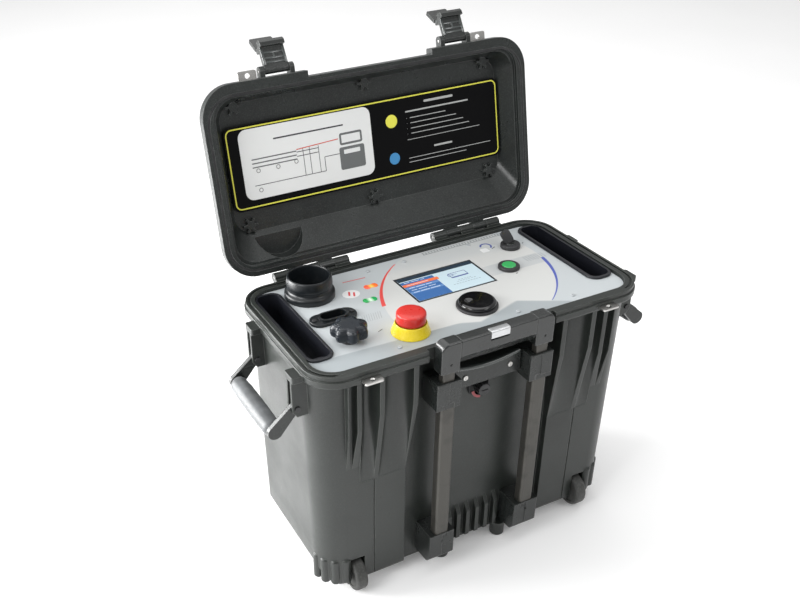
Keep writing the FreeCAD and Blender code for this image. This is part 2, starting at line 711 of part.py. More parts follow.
def padlock_pocket():
    """Slot in the front rim that the base padlock plate slides into."""
    y0 = -RIM_HALF_Y - PADLOCK_OUT
    z1 = RIM_Z - PADLOCK_DROP + PADLOCK_T
    half = PADLOCK_W / 2 + SEAT_GAP
    return box(-half, half, y0, -RIM_HALF_Y + PADLOCK_IN + SEAT_GAP, z1 - PADLOCK_T - SEAT_GAP, z1 + SEAT_GAP)


def padlock_plate(y_out, y_in, z):
    """Steel plate with a padlock hole, one side."""
    half = PADLOCK_W / 2
    plate = round_slab(-half, half, y_out, y_in, 3.0, z, z + PADLOCK_T)
    hole = rod(PADLOCK_HOLE_R, V(0, y_out + PADLOCK_HOLE_R + PADLOCK_EDGE, z - 1), Z_AXIS, PADLOCK_T + 2)
    return plate.cut(hole)


def base_padlock_plates():
    """Both steel padlock plates under the front rim."""
    z = RIM_Z - PADLOCK_DROP
    plate = padlock_plate(-RIM_HALF_Y - PADLOCK_OUT, -RIM_HALF_Y + PADLOCK_IN, z)
    plate.translate(V(PADLOCK_X, 0, 0))
    return pair(plate)


def lid_padlock_plates():
    """Both steel padlock plates on the front edge of the lid."""
    z = RIM_Z + PADLOCK_DROP - PADLOCK_T
    plate = padlock_plate(LID_FRONT_Y - PADLOCK_OUT, LID_FRONT_Y + PADLOCK_IN, z)
    plate.translate(V(PADLOCK_X, 0, 0))
    return opened(pair(plate))


def hinge_pins():
    """One steel pin through each group of knuckles."""
    start = V(KNUCKLE_X0 + HINGE_PIN_LAP, HINGE_Y, HINGE_Z)
    return pair(rod(HINGE_PIN_R, start, X_AXIS, KNUCKLE_X1 - KNUCKLE_X0 - 2 * HINGE_PIN_LAP))


def wheel():
    """Right wheel with a rounded tread and side dishes."""
    tyre = rod(WHEEL_R, V(WHEEL_X - WHEEL_W / 2, WHEEL_Y, WHEEL_Z), X_AXIS, WHEEL_W)
    tyre = soften(tyre, 4.0, lambda e: e.BoundBox.XLength < 0.01)
    for start in (WHEEL_X - WHEEL_W / 2, WHEEL_X + WHEEL_W / 2 - 2):
        dish = ring(WHEEL_R - 7, AXLE_R + 5, V(start, WHEEL_Y, WHEEL_Z), X_AXIS, 2)
        tyre = tyre.cut(dish)
    return tyre.cut(rod(AXLE_R + PIN_GAP, V(WHEEL_X - WHEEL_W, WHEEL_Y, WHEEL_Z), X_AXIS, 2 * WHEEL_W))


def wheel_axles():
    """Steel axle pin of each wheel."""
    half = WHEEL_W / 2 + WELL_SIDE + WELL_WALL - 1 - SEAT_GAP
    return pair(rod(AXLE_R, V(WHEEL_X - half, WHEEL_Y, WHEEL_Z), X_AXIS, 2 * half))


# ---- pull handle ----
def tube(half_w, half_d, radius, z0, z1):
    """Upright block on the axis of the right-hand rail."""
    x, y = TROLLEY_X, TUBE_Y
    return round_slab(x - half_w, x + half_w, y - half_d, y + half_d, radius, z0, z1)


def trolley_outer_tubes():
    """Fixed outer tubes of the pull handle."""
    half_w, half_d = OUTER_TUBE_W / 2, OUTER_TUBE_D / 2
    shape = tube(half_w, half_d, 4.0, OUTER_TUBE_Z0 - BRACKET_LAP, OUTER_TUBE_Z1 + BRACKET_LAP)
    hole = tube(half_w - TUBE_WALL, half_d - TUBE_WALL, 2.5, 0, RIM_Z)
    return pair(shape.cut(hole))


def inner_half():
    """Half width and depth of the sliding tubes."""
    return OUTER_TUBE_W / 2 - TUBE_WALL - RUN_GAP, OUTER_TUBE_D / 2 - TUBE_WALL - RUN_GAP


def trolley_inner_tubes():
    """Sliding tubes that carry the grip."""
    half_w, half_d = inner_half()
    shape = tube(half_w, half_d, 2.0, INNER_TUBE_Z0, tube_top())
    return pair(shape.cut(tube(half_w - 1.5, half_d - 1.5, 1.0, 0, RIM_Z)))


def trolley_top_brackets():
    """Guides that hold the tops of the outer tubes to the case."""
    half = TOP_BRACKET_W / 2
    z0 = OUTER_TUBE_Z1
    front, rear = TROLLEY_FRONT_Y, RECESS_Y - SEAT_GAP
    shape = round_slab(TROLLEY_X - half, TROLLEY_X + half, front, rear, 3.0, z0, TOP_BRACKET_Z1)
    inner = box(0, TROLLEY_X, front - 1, front + BRACKET_STEP, z0 - 1, TOP_BRACKET_Z1 - 1.5)
    under = box(0, TROLLEY_X + half + 1, front - 1, front + BRACKET_STEP, z0 - 1, z0 + 7)
    shape = soften(shape, 1.5, at_height(TOP_BRACKET_Z1)).cut(inner).cut(under)
    pocket = tube(OUTER_TUBE_W / 2 + PRESS_GAP, OUTER_TUBE_D / 2 + PRESS_GAP, 4.0,
                  0, z0 + BRACKET_LAP + SEAT_GAP)
    half_w, half_d = inner_half()
    throat = tube(half_w + RUN_GAP, half_d + RUN_GAP, 2.5, 0, RIM_Z)
    return pair(shape.cut(pocket).cut(throat))


def trolley_bottom_brackets():
    """Shoes that hold the feet of the outer tubes to the case."""
    half = LOW_BRACKET_W / 2
    z0, z1 = LOW_BRACKET_Z0, OUTER_TUBE_Z0
    front, rear = TROLLEY_FRONT_Y, RECESS_Y - SEAT_GAP
    outline = [(rear, z0 - 8), (front + 8, z0 - 6), (front, z0 + 4), (front, z1), (rear, z1)]
    shape = prism_x(outline, TROLLEY_X - half, TROLLEY_X + half)
    shape = soften(shape, 2.0, lambda e: e.BoundBox.XLength < 0.01 and e.BoundBox.YMax < front + 9
                   and e.BoundBox.ZLength > 5)
    pocket = tube(OUTER_TUBE_W / 2 + PRESS_GAP, OUTER_TUBE_D / 2 + PRESS_GAP, 4.0,
                  z1 - BRACKET_LAP - SEAT_GAP, RIM_Z)
    inner = box(0, TROLLEY_X, front - 1, front + BRACKET_STEP, z0 - 10, z1 - 2)
    screw = rod(SCREW_R / 2, V(TROLLEY_X, front - 1, z1 - 14), Y_AXIS, BRACKET_STEP + 2)
    return pair(shape.cut(pocket).cut(inner).cut(screw))


def trolley_cross_brace():
    """Dished bridge piece between the rails, screwed to the recess."""
    rear = RECESS_Y - SEAT_GAP
    front = rear - BRACE_FRONT
    z0, z1 = BRACE_Z0, BRACE_Z1
    pts = [V(BRACE_HALF_X, 0, z1), V(0, 0, z1 - BRACE_SAG), V(-BRACE_HALF_X, 0, z1)]
    edges = [Part.LineSegment(V(-BRACE_HALF_X, 0, z0), V(BRACE_HALF_X, 0, z0)).toShape()]
    edges.append(Part.LineSegment(V(BRACE_HALF_X, 0, z0), pts[0]).toShape())
    edges.append(Part.Arc(*pts).toShape())
    edges.append(Part.LineSegment(pts[2], V(-BRACE_HALF_X, 0, z0)).toShape())
    face = Part.Face(Part.Wire(edges))
    face.translate(V(0, front, 0))
    shape = face.extrude(V(0, rear - front, 0))
    hollow = box(-BRACE_HALF_X + 3, BRACE_HALF_X - 3, front + 3.5, rear + 1, z0 - 1, z0 + 8)
    shape = shape.cut(hollow)
    for x in (-BRACE_SCREW_X, BRACE_SCREW_X):
        shape = shape.cut(rod(SCREW_R + PRESS_GAP, V(x, front - 1, BRACE_SCREW_Z), Y_AXIS, 4))
    return shape


def trolley_screws():
    """Pan-head screws of the brace and the bottom brackets."""
    front = RECESS_Y - SEAT_GAP - BRACE_FRONT
    shapes = []
    for x in (-BRACE_SCREW_X, BRACE_SCREW_X):
        head = rod(SCREW_R, V(x, front - 1.5, BRACE_SCREW_Z), Y_AXIS, 4.2)
        slot = box(x - 0.5, x + 0.5, front - 2, front - 0.8, BRACE_SCREW_Z - 2.4, BRACE_SCREW_Z + 2.4)
        shapes.append(head.cut(slot))
    return Part.makeCompound(shapes)


def trolley_grip():
    """U-shaped grip with a leg over each sliding tube."""
    front, rear = TROLLEY_FRONT_Y, GRIP_REAR_Y
    half, top = GRIP_HALF_X, GRIP_TOP_Z
    leg = 2 * (GRIP_HALF_X - TROLLEY_X)
    low = top - GRIP_BAR_H
    outline = [(rear, low), (front + GRIP_CHAMFER, low), (front, top - GRIP_FACE_H)]
    outline += [(front, top), (rear, top)]
    bar = prism_x(outline, -half + leg / 2, half - leg / 2)
    bar = soften(bar, 2.5, lambda e: e.BoundBox.XLength > leg and e.BoundBox.ZMin > top - 0.1)
    parts = [bar]
    for side in (1, -1):
        x0 = side * TROLLEY_X - leg / 2
        post = box(x0, x0 + leg, front, rear, GRIP_LEG_Z0, top)
        outer = side * half
        post = soften(post, GRIP_CORNER, lambda e: e.BoundBox.YLength > 5 and e.BoundBox.ZMin > top - 0.1
                      and abs(e.BoundBox.XMin - outer) < 0.1)
        post = soften(post, 2.5, lambda e: abs(e.BoundBox.YMin - front) < 0.01 and e.BoundBox.YLength < 0.01
                      and e.BoundBox.ZMax > GRIP_LEG_Z0 + 1)
        parts.append(post)
    shape = fuse_all(parts)
    half_w, half_d = inner_half()
    for side in (1, -1):
        hole = tube(half_w + PRESS_GAP, half_d + PRESS_GAP, 2.0, 0, tube_top() + SEAT_GAP)
        x0 = half - leg - GRIP_SEAM
        seam = box(x0, x0 + GRIP_SEAM, front - 1, front + GRIP_SEAM, low + 1, top + 1)
        seam = seam.fuse(box(x0, x0 + GRIP_SEAM, front, rear, top - GRIP_SEAM, top + 1))
        screw = rod(SCREW_R / 2, V(TROLLEY_X, front - 1, GRIP_LEG_Z0 + 12.5), Y_AXIS, 2.5)
        for cut in (hole, seam, screw):
            shape = shape.cut(cut if side > 0 else flip_x(cut))
    well = box(-BUTTON_W / 2 - SEAT_GAP, BUTTON_W / 2 + SEAT_GAP, front - 1, front + BUTTON_D + SEAT_GAP,
               top - BUTTON_H - BUTTON_TRAVEL, top + 1)
    return shape.cut(well)


def tube_top():
    """Height of the upper end of the sliding tubes, inside the grip."""
    return GRIP_TOP_Z - GRIP_CORNER - 3


def trolley_button():
    """Release button on the upper front edge of the grip."""
    z1 = GRIP_TOP_Z + 1.0
    z0 = GRIP_TOP_Z - BUTTON_H + SEAT_GAP
    half = BUTTON_W / 2
    shape = box(-half, half, TROLLEY_FRONT_Y - 0.5, TROLLEY_FRONT_Y + BUTTON_D, z0, z1)
    return soften(shape, 2.5, lambda e: e.BoundBox.XLength > 5 and e.BoundBox.ZMin > z1 - 0.1)


# ---- pressure valve ----
def valve_seat():
    """Ring of the pressure valve set into the wall."""
    start = V(VALVE_X, RECESS_Y + RECESS_DEPTH / 2 - SEAT_GAP, VALVE_Z)
    body = rod(VALVE_SEAT_R, start, -Y_AXIS, RECESS_DEPTH / 2 + 2)
    hub = rod(VALVE_KNOB_R - 3, start, -Y_AXIS, RECESS_DEPTH / 2 + 7)
    cup = ring(VALVE_SEAT_R - 2.5, VALVE_KNOB_R - 3, start - Y_AXIS * 2, -Y_AXIS, 10)
    return body.fuse(hub).cut(cup)


def valve_knob():
    """Knurled knob of the pressure valve."""
    end = RECESS_Y - VALVE_PROUD
    length = VALVE_PROUD - 3
    knob = rod(VALVE_KNOB_R, V(VALVE_X, end, VALVE_Z), Y_AXIS, length)
    knob = soften(knob, 1.5, lambda e: e.BoundBox.YLength < 0.01 and abs(e.BoundBox.YMin - end) < 0.01)
    for i in range(12):
        a = math.radians(30 * i)
        spot = V(VALVE_X + VALVE_KNOB_R * math.cos(a), end - 1, VALVE_Z + VALVE_KNOB_R * math.sin(a))
        knob = knob.cut(rod(1.0, spot, Y_AXIS, length + 2))
    slot = box(VALVE_X - 5, VALVE_X + 5, end - 1, end + 1.2, VALVE_Z - 1, VALVE_Z + 1)
    bore_start = V(VALVE_X, end + 4, VALVE_Z)
    return knob.cut(slot).cut(rod(VALVE_KNOB_R - 3 + PIN_GAP, bore_start, Y_AXIS, length))


# ---- side handles ----
def side_swing(shape, side):
    """A right-hand side-handle piece, modelled hanging down, swung out and placed."""
    done = shape.copy()
    done.rotate(V(SIDE_PIVOT_X, 0, SIDE_PIVOT_Z), Y_AXIS, -SIDE_SWING)
    return done if side > 0 else flip_x(done)


def side_arm_spans():
    """Y spans of the two arms of a side handle."""
    return [(y0 + SIDE_PLATE + RUN_GAP, y0 + SIDE_PLATE + RUN_GAP + SIDE_ARM_T) for y0 in SIDE_BRACKETS_Y]


def side_handle_arms(side):
    """Both arms and the rod between them."""
    px, pz, low = SIDE_PIVOT_X, SIDE_PIVOT_Z, SIDE_PIVOT_Z - SIDE_ARM_L
    parts = []
    for y0, y1 in side_arm_spans():
        hub = rod(6.5, V(px, y0, pz), Y_AXIS, y1 - y0)
        end = rod(SIDE_ARM_W / 2, V(px, y0, low), Y_AXIS, y1 - y0)
        wide = SIDE_ARM_W / 2
        web = prism_y([(px - 6.5, pz), (px + 6.5, pz), (px + wide, low), (px - wide, low)], y0, y1)
        arm = fuse_all([hub, end, web])
        parts.append(arm.cut(rod(SIDE_PIN_R + PIN_GAP, V(px, y0 - 1, pz), Y_AXIS, y1 - y0 + 2)))
    first, last = side_arm_spans()
    parts.append(rod(SIDE_ROD_R, V(px, first[1] - 1, low), Y_AXIS, last[0] - first[1] + 2))
    return side_swing(fuse_all(parts), side)


def side_handle_grip(side):
    """Soft sleeve over the rod of a side handle."""
    first, last = side_arm_spans()
    low = SIDE_PIVOT_Z - SIDE_ARM_L
    y0, y1 = first[1] + SEAT_GAP, last[0] - SEAT_GAP
    sleeve = rod(SIDE_GRIP_R, V(SIDE_PIVOT_X, y0, low), Y_AXIS, y1 - y0)
    sleeve = soften(sleeve, 3.0, lambda e: e.BoundBox.YLength < 0.01)
    bore = rod(SIDE_ROD_R + PIN_GAP, V(SIDE_PIVOT_X, y0 - 1, low), Y_AXIS, y1 - y0 + 2)
    return side_swing(sleeve.cut(bore), side)


def side_handle_pins():
    """Four steel pivot pins of the side handles."""
    shapes = []
    for y0 in SIDE_BRACKETS_Y:
        length = 2 * SIDE_PLATE + SIDE_ARM_T + 2 * RUN_GAP
        pin = rod(SIDE_PIN_R, V(SIDE_PIVOT_X, y0 - 1, SIDE_PIVOT_Z), Y_AXIS, length + 1)
        head = rod(SIDE_PIN_R + 1.2, V(SIDE_PIVOT_X, y0 - 2, SIDE_PIVOT_Z), Y_AXIS, 2 - SEAT_GAP)
        pin = pin.fuse(head)
        shapes += [pin, flip_x(pin)]
    return Part.makeCompound(shapes)


# ---- lid ----
def socket_relief():
    """Hollow in the closed lid that clears the high-voltage socket."""
    top = PANEL_Z + SEAT_GAP + HV_STEPS[-1] + LID_RELIEF_RISE
    return rod(HV_MID_R + LID_RELIEF_GAP, V(HV_X, HV_Y, RIM_Z), Z_AXIS, top - RIM_Z)


def lid_shell():
    """Moulded lid with flange, dome, star bosses and latch ears."""
    y0, y1 = LID_FRONT_Y, LID_REAR_Y
    z0, z1 = LID_Z0, LID_Z0 + LID_FLANGE_H
    top = LID_Z0 + LID_DEPTH + LID_SKIN
    flange = round_slab(-RIM_HALF_X, RIM_HALF_X, y0, y1, RIM_CORNER, z0, z1)
    flange = soften(flange, 3.0, at_height(z1))
    a = LID_DOME_INSET
    b = a + LID_DOME_TAPER
    dome = taper(round_wire(-RIM_HALF_X + a, RIM_HALF_X - a, y0 + a, y1 - a, RIM_CORNER - a, z1 - 1),
                 round_wire(-RIM_HALF_X + b, RIM_HALF_X - b, y0 + b, y1 - b, RIM_CORNER - a, top))
    dome = soften(dome, 7.0, at_height(top))
    shell = flange.fuse(dome)
    front, rear = y0 + RIM_BAND, y1 - RIM_BAND
    mouth = round_wire(-OPEN_HALF_X, OPEN_HALF_X, front, rear, OPEN_CORNER, z0 - 0.1)
    step = round_wire(-OPEN_HALF_X, OPEN_HALF_X, front, rear, OPEN_CORNER, z0 + 5)
    shell = shell.cut(taper(mouth, step))
    inner = OPEN_HALF_X - 4
    waist = round_wire(-inner, inner, front + 4, rear - 4, OPEN_CORNER, z0 + 4.9)
    floor_x = inner - LID_SLOPE_SIDE
    floor = round_wire(-floor_x, floor_x, front + 4 + LID_SLOPE_FRONT, rear - 4 - LID_SLOPE_REAR,
                       OPEN_CORNER - 6, z0 + LID_DEPTH)
    shell = shell.cut(taper(waist, floor)).cut(socket_relief())
    bosses = []
    for reach in BOSS_REACH:
        for x in (-BOSS_X, 0.0, BOSS_X):
            bosses += star_boss(x, HINGE_Y - reach, z0 + LID_DEPTH)
    ears = []
    for side in (1, -1):
        for x0, x1 in ear_spans():
            ears.append(latch_ear(side * LATCH_X + x0, side * LATCH_X + x1))
    shell = shell.fuse(bosses + ears + lid_knuckles() + label_posts())
    notch = GRIP_HALF_X + GRIP_NOTCH_GAP
    shell = shell.cut(box(-notch, notch, y0 - 30, NOTCH_Y, z0 - 1, top))
    seal = seal_ring(SEAL_W / 2 + 0.1, SEAL_IN + SEAT_GAP, z0)
    shell = shell.cut(seal)
    for side in (1, -1):
        pocket = padlock_pocket()
        pocket.translate(V(side * PADLOCK_X, 0, 2 * PADLOCK_DROP - PADLOCK_T))
        shell = shell.cut(pocket)
        width = LATCH_W + 2 * RUN_GAP
        start = LATCH_PIVOT + V(side * LATCH_X - width / 2, 0, 0)
        swing = rod(LATCH_BARREL_R + RUN_GAP, start, X_AXIS, width)
        shell = shell.cut(swing)
        far = LATCH_W / 2 + RUN_GAP + LATCH_EAR_T
        pin = rod(LATCH_PIN_R + PRESS_GAP, V(side * LATCH_X - far - 1, LATCH_PIVOT.y, LATCH_PIVOT.z), X_AXIS,
                  2 * far + 2)
        shell = shell.cut(pin)
    for x0, x1 in base_knuckle_spans():
        clear = rod(KNUCKLE_R + RUN_GAP, V(x0 - RUN_GAP, HINGE_Y, HINGE_Z), X_AXIS, x1 - x0 + 2 * RUN_GAP)
        shell = shell.cut(clear).cut(flip_x(clear))
    bore = hinge_bore(HINGE_PIN_R + PIN_GAP)
    shell = shell.cut(bore).cut(flip_x(bore))
    return opened(shell.removeSplitter())


def star_boss(x, y, z):
    """Six-pointed boss on the inside of the lid."""
    parts = [rod(6.0, V(x, y, z - BOSS_H), Z_AXIS, BOSS_H + 1)]
    for turn in (0, 60, 120):
        bar = box(x - 11, x + 11, y - 1.5, y + 1.5, z - BOSS_H, z + 1)
        bar.rotate(V(x, y, z), Z_AXIS, turn)
        parts.append(bar)
    return parts


def lid_knuckles():
    """Hinge knuckles of the lid with the arms that carry them."""
    parts = []
    for x0, x1 in lid_knuckle_spans():
        barrel = rod(KNUCKLE_R, V(x0, HINGE_Y, HINGE_Z), X_AXIS, x1 - x0)
        arm = box(x0, x1, LID_REAR_Y - 6, HINGE_Y, LID_Z0 + 1, HINGE_Z + KNUCKLE_R)
        parts += [barrel, arm, flip_x(barrel), flip_x(arm)]
    return parts


def ear_spans():
    """X spans of the two ears beside a latch, from the middle of the latch."""
    near = LATCH_W / 2 + RUN_GAP
    return [(-near - LATCH_EAR_T, -near), (near, near + LATCH_EAR_T)]


def latch_ear(x0, x1):
    """Ear on the front of the lid that holds a latch pin."""
    p = LATCH_PIVOT
    barrel = rod(LATCH_BARREL_R + 1.5, V(x0, p.y, p.z), X_AXIS, x1 - x0)
    arm = box(x0, x1, p.y, LID_FRONT_Y + 6, p.z - LATCH_BARREL_R - 1.5, p.z + LATCH_BARREL_R + 1.5)
    return barrel.fuse(arm)


def seal_ring(half, depth, z):
    """Closed band for the seal, sunk into the lid's face from z upwards."""
    y0, y1 = LID_FRONT_Y, LID_REAR_Y
    mid = GROOVE_INSET + GROOVE_W / 2
    outer, inner = mid - half, mid + half
    notch_in = NOTCH_Y - LID_FRONT_Y
    shape = round_slab(-RIM_HALF_X + outer, RIM_HALF_X - outer, y0 + outer + notch_in, y1 - outer - 2,
                       RIM_CORNER - outer, z, z + depth)
    hole = round_slab(-RIM_HALF_X + inner, RIM_HALF_X - inner, y0 + inner + notch_in, y1 - inner - 2,
                      RIM_CORNER - inner, z, z + depth)
    return shape.cut(hole)


def lid_seal():
    """Rubber seal in the face of the lid."""
    return opened(seal_ring(SEAL_W / 2, SEAL_IN, LID_Z0 + SEAT_GAP / 2))


def lid_label():
    """Instruction plate fixed across the inside of the lid."""
    z1 = LID_Z0 + LID_DEPTH - BOSS_H - SEAT_GAP
    plate = round_slab(-LABEL_HALF_X, LABEL_HALF_X, HINGE_Y - LABEL_REACH1, HINGE_Y - LABEL_REACH0, 10.0,
                       z1 - LABEL_T, z1)
    return opened(plate)


def label_posts():
    """Standoffs on the lid's floor that carry the instruction plate."""
    z1 = LID_Z0 + LID_DEPTH
    y_mid = HINGE_Y - (LABEL_REACH0 + LABEL_REACH1) / 2
    places = (-LABEL_POST_X, 0.0, LABEL_POST_X)
    return [rod(4.0, V(x, y_mid, z1 - BOSS_H), Z_AXIS, BOSS_H + 1) for x in places]


def latch_arm(side):
    """Hook arm of a latch that hangs from the lid."""
    p = LATCH_PIVOT
    half = LATCH_W / 2
    y1 = LID_FRONT_Y - 1.5
    y0 = y1 - LATCH_PLATE_T
    low = LATCH_ARM_LOW_Z
    barrel = rod(LATCH_BARREL_R, V(-half, p.y, p.z), X_AXIS, 2 * half)
    plate = box(-half, half, y0, y1, low, p.z)
    hook_top = FLANGE_Z0 - HOOK_DROP
    hook = prism_x([(y1 - 1, low), (y1 + HOOK_REACH - 3, low), (y1 + HOOK_REACH, low + 4),
                    (y1 + HOOK_REACH, hook_top), (y1 - 1, hook_top)], -half, half)
    shape = fuse_all([barrel, plate, hook])
    q = LEVER_PIVOT
    for x0 in (LEVER_W / 2 + RUN_GAP, -LEVER_W / 2 - RUN_GAP - LEVER_EAR_T):
        ear = rod(LEVER_BARREL_R, V(x0, q.y, q.z), X_AXIS, LEVER_EAR_T)
        foot = box(x0, x0 + LEVER_EAR_T, q.y, y0 + 1, q.z - LEVER_BARREL_R, q.z + LEVER_BARREL_R)
        shape = shape.fuse(ear.fuse(foot))
    shape = shape.removeSplitter()
    shape = shape.cut(rod(LATCH_PIN_R + PIN_GAP, V(-half - 1, p.y, p.z), X_AXIS, 2 * half + 2))
    shape = shape.cut(rod(LATCH_PIN_R + PIN_GAP, V(-half - 1, q.y, q.z), X_AXIS, 2 * half + 2))
    return latch_place(shape, False, side)


def latch_lever(side):
    """Finger paddle that pivots on the hook arm."""
    q = LEVER_PIVOT
    half = LEVER_W / 2
    barrel = rod(LEVER_BARREL_R, V(-half, q.y, q.z), X_AXIS, LEVER_W)
    y0 = q.y - LEVER_BARREL_R
    neck = box(-half, half, y0, y0 + LEVER_T, LEVER_LOW_Z, q.z)
    wide = LATCH_W / 2 - 1
    paddle = box(-wide, wide, y0, y0 + LEVER_T, LEVER_LOW_Z, q.z - LEVER_BARREL_R - 2)
    paddle = soften(paddle, 2.5, lambda e: e.BoundBox.YLength > 1 and e.BoundBox.ZMax < LEVER_LOW_Z + 0.1)
    low = LEVER_LOW_Z
    lip = prism_x([(y0, low + 5), (y0 - 2.5, low), (y0 + LEVER_T, low)], -wide + 3, wide - 3)
    pin_half = half + RUN_GAP + LEVER_EAR_T
    pin = rod(LATCH_PIN_R, V(-pin_half, q.y, q.z), X_AXIS, 2 * pin_half)
    return latch_place(fuse_all([barrel, neck, paddle, lip, pin]), True, side)


def latch_pins():
    """Steel pins through the latch ears."""
    p = LATCH_PIVOT
    half = LATCH_W / 2 + RUN_GAP + LATCH_EAR_T - SEAT_GAP
    pins = []
    for side in (1, -1):
        pins.append(rod(LATCH_PIN_R, V(side * LATCH_X - half, p.y, p.z), X_AXIS, 2 * half))
    return opened(Part.makeCompound(pins))


# ---- control panel ----
def through(radius, x, y):
    """Round hole right through the panel."""
    return rod(radius + SEAT_GAP, V(x, y, PANEL_Z - PANEL_T - 2), Z_AXIS, PANEL_T + 4)


def tray_cut():
    """Opening in the panel for the right tray."""
    g = SEAT_GAP
    return round_slab(TRAY_X0 - g, TRAY_X1 + g, TRAY_Y0 - g, TRAY_Y1 + g, TRAY_CORNER,
                      PANEL_Z - CUT_UNDER, PANEL_Z + 1)


def panel_plate():
    """Control panel with its cut-outs."""
    fit = PANEL_FIT
    plate = slab(OPEN_HALF_X - fit, OPEN_HALF_Y - fit, OPEN_CORNER - fit, PANEL_Z - PANEL_T, PANEL_Z)
    cuts = [tray_cut(), flip_x(tray_cut())]
    cuts.append(through(HV_BORE_R + HV_WALL, HV_X, HV_Y))
    cuts.append(aux_oval(AUX_SOCKET_HALF_L + 4, AUX_SOCKET_HALF_W + 3, PANEL_Z - CUT_UNDER, PANEL_Z + 1))
    cuts.append(through(STUD_R, KNOB_X, KNOB_Y))
    cuts.append(through(CAP_STEM_R + 2, ESTOP_X, ESTOP_Y))
    cuts.append(through(JOG_SHAFT_R + 3, JOG_X, JOG_Y))
    cuts.append(through(START_LENS_R, START_X, START_Y))
    cuts.append(through(KEY_BARREL_R + 2, KEY_X, KEY_Y))
    cuts.append(display_block(SEAT_GAP, PANEL_Z - CUT_UNDER, PANEL_Z + 1))
    for x, y in lamp_spots():
        cuts.append(through(LAMP_R, x, y))
    for x, y in PANEL_SCREWS:
        cuts.append(rod(PANEL_SCREW_R / 2 + PRESS_GAP, V(x, y, PANEL_Z - CUT_UNDER), Z_AXIS, 2 * CUT_UNDER))
    for cut in cuts:
        plate = plate.cut(cut)
    return plate


def lamp_spots():
    """Centres of all indicator lenses."""
    return [(x + s * LAMP_PITCH / 2, y) for x, y in LAMPS for s in (-1, 1)]


def lamp_lenses():
    """Indicator lenses set into the panel."""
    shapes = []
    for x, y in lamp_spots():
        lens = rod(LAMP_R, V(x, y, PANEL_Z - PANEL_T - 4), Z_AXIS, PANEL_T + 5)
        shapes.append(soften(lens, 0.8, at_height(PANEL_Z + 1)))
    return Part.makeCompound(shapes)


def panel_screws():
    """Panel fixing screws."""
    shapes = []
    for x, y in PANEL_SCREWS:
        head = soften(rod(PANEL_SCREW_R, V(x, y, PANEL_Z + SEAT_GAP / 2), Z_AXIS, 1.6), 0.6,
                      at_height(PANEL_Z + SEAT_GAP / 2 + 1.6))
        shank = rod(PANEL_SCREW_R / 2, V(x, y, PANEL_Z - PANEL_T), Z_AXIS, PANEL_T + 0.5)
        slot = box(x - 2, x + 2, y - 0.4, y + 0.4, PANEL_Z + 1.2, PANEL_Z + 3)
        shapes.append(head.fuse(shank).cut(slot))
    return Part.makeCompound(shapes)


def tray(side):
    """Deep pocket at one end of the panel, open at the top."""
    x0, x1, y0, y1 = TRAY_X0, TRAY_X1, TRAY_Y0, TRAY_Y1
    z0, z1 = PANEL_Z - TRAY_DEPTH, PANEL_Z + SEAT_GAP
    lip = TRAY_LIP
    body = round_slab(x0, x1, y0, y1, TRAY_CORNER, z0, z1 + 0.5)
    rim = round_slab(x0 - lip, x1 + lip, y0 - lip, y1 + lip, TRAY_CORNER + lip, z1, z1 + TRAY_LIP_H)
    fit = PANEL_FIT
    rim = rim.common(slab(OPEN_HALF_X - fit, OPEN_HALF_Y - fit, OPEN_CORNER - fit, z1, RIM_Z))
    rim = soften(rim, 1.2, at_height(z1 + TRAY_LIP_H))
    w = TRAY_WALL
    pocket = round_slab(x0 + w, x1 - w, y0 + w, y1 - w, TRAY_CORNER - w, z0 + w, z1 + TRAY_LIP_H + 1)
    shape = body.fuse(rim).cut(pocket)
    step_top = z1 + TRAY_LIP_H - TRAY_STEP_DROP
    step = round_slab(x0 + w / 2, x1 - w / 2, y0 + w / 2, y0 + w + TRAY_STEP_L, TRAY_CORNER - w,
                      z0 + 1, step_top)
    shape = shape.fuse(step)
    if side > 0:
        shelf = box(x0 + w / 2, x0 + w + 9, y1 - 70, y1 - w - 8, z0 + 1, step_top + 6)
        shape = shape.fuse(shelf)
    shape = shape.removeSplitter()
    return shape if side > 0 else flip_x(shape)


def hv_socket():
    """Stepped high-voltage socket with a deep bore."""
    z = PANEL_Z + SEAT_GAP
    radii = [HV_BASE_R, HV_MID_R, HV_TOP_R]
    shape = rod(HV_BORE_R + HV_WALL, V(HV_X, HV_Y, PANEL_Z - HV_BARREL_DEPTH), Z_AXIS, HV_BARREL_DEPTH + 3)
    low = 0.0
    for radius, high in zip(radii, HV_STEPS):
        part = rod(radius, V(HV_X, HV_Y, z + low), Z_AXIS, high - low)
        shape = shape.fuse(soften(part, 1.6, at_height(z + high)))
        low = high - 1.0
    bore = rod(HV_BORE_R, V(HV_X, HV_Y, PANEL_Z - HV_BARREL_DEPTH + 6), Z_AXIS, 200)
    seat = rod(HV_PIN_R + PRESS_GAP, V(HV_X, HV_Y, PANEL_Z - HV_BARREL_DEPTH - 1), Z_AXIS, 20)
    shape = shape.cut(bore).cut(seat)
    groove = ring(HV_MID_R + 2, HV_MID_R - 1.5, V(HV_X, HV_Y, z + HV_STEPS[0] + 4), Z_AXIS, 2.5)
    return shape.cut(groove)


def hv_contact():
    """Brass centre contact of the high-voltage socket."""
    z0 = PANEL_Z - HV_BARREL_DEPTH - 6
    pin = rod(HV_PIN_R, V(HV_X, HV_Y, z0), Z_AXIS, HV_BARREL_DEPTH + 2)
    return soften(pin, 1.5, at_height(z0 + HV_BARREL_DEPTH + 2))


def aux_oval(half_l, half_w, z0, z1):
    """Long round-ended block of the auxiliary socket."""
    return round_slab(AUX_X - half_l, AUX_X + half_l, AUX_Y - half_w, AUX_Y + half_w, half_w - 0.5, z0, z1)


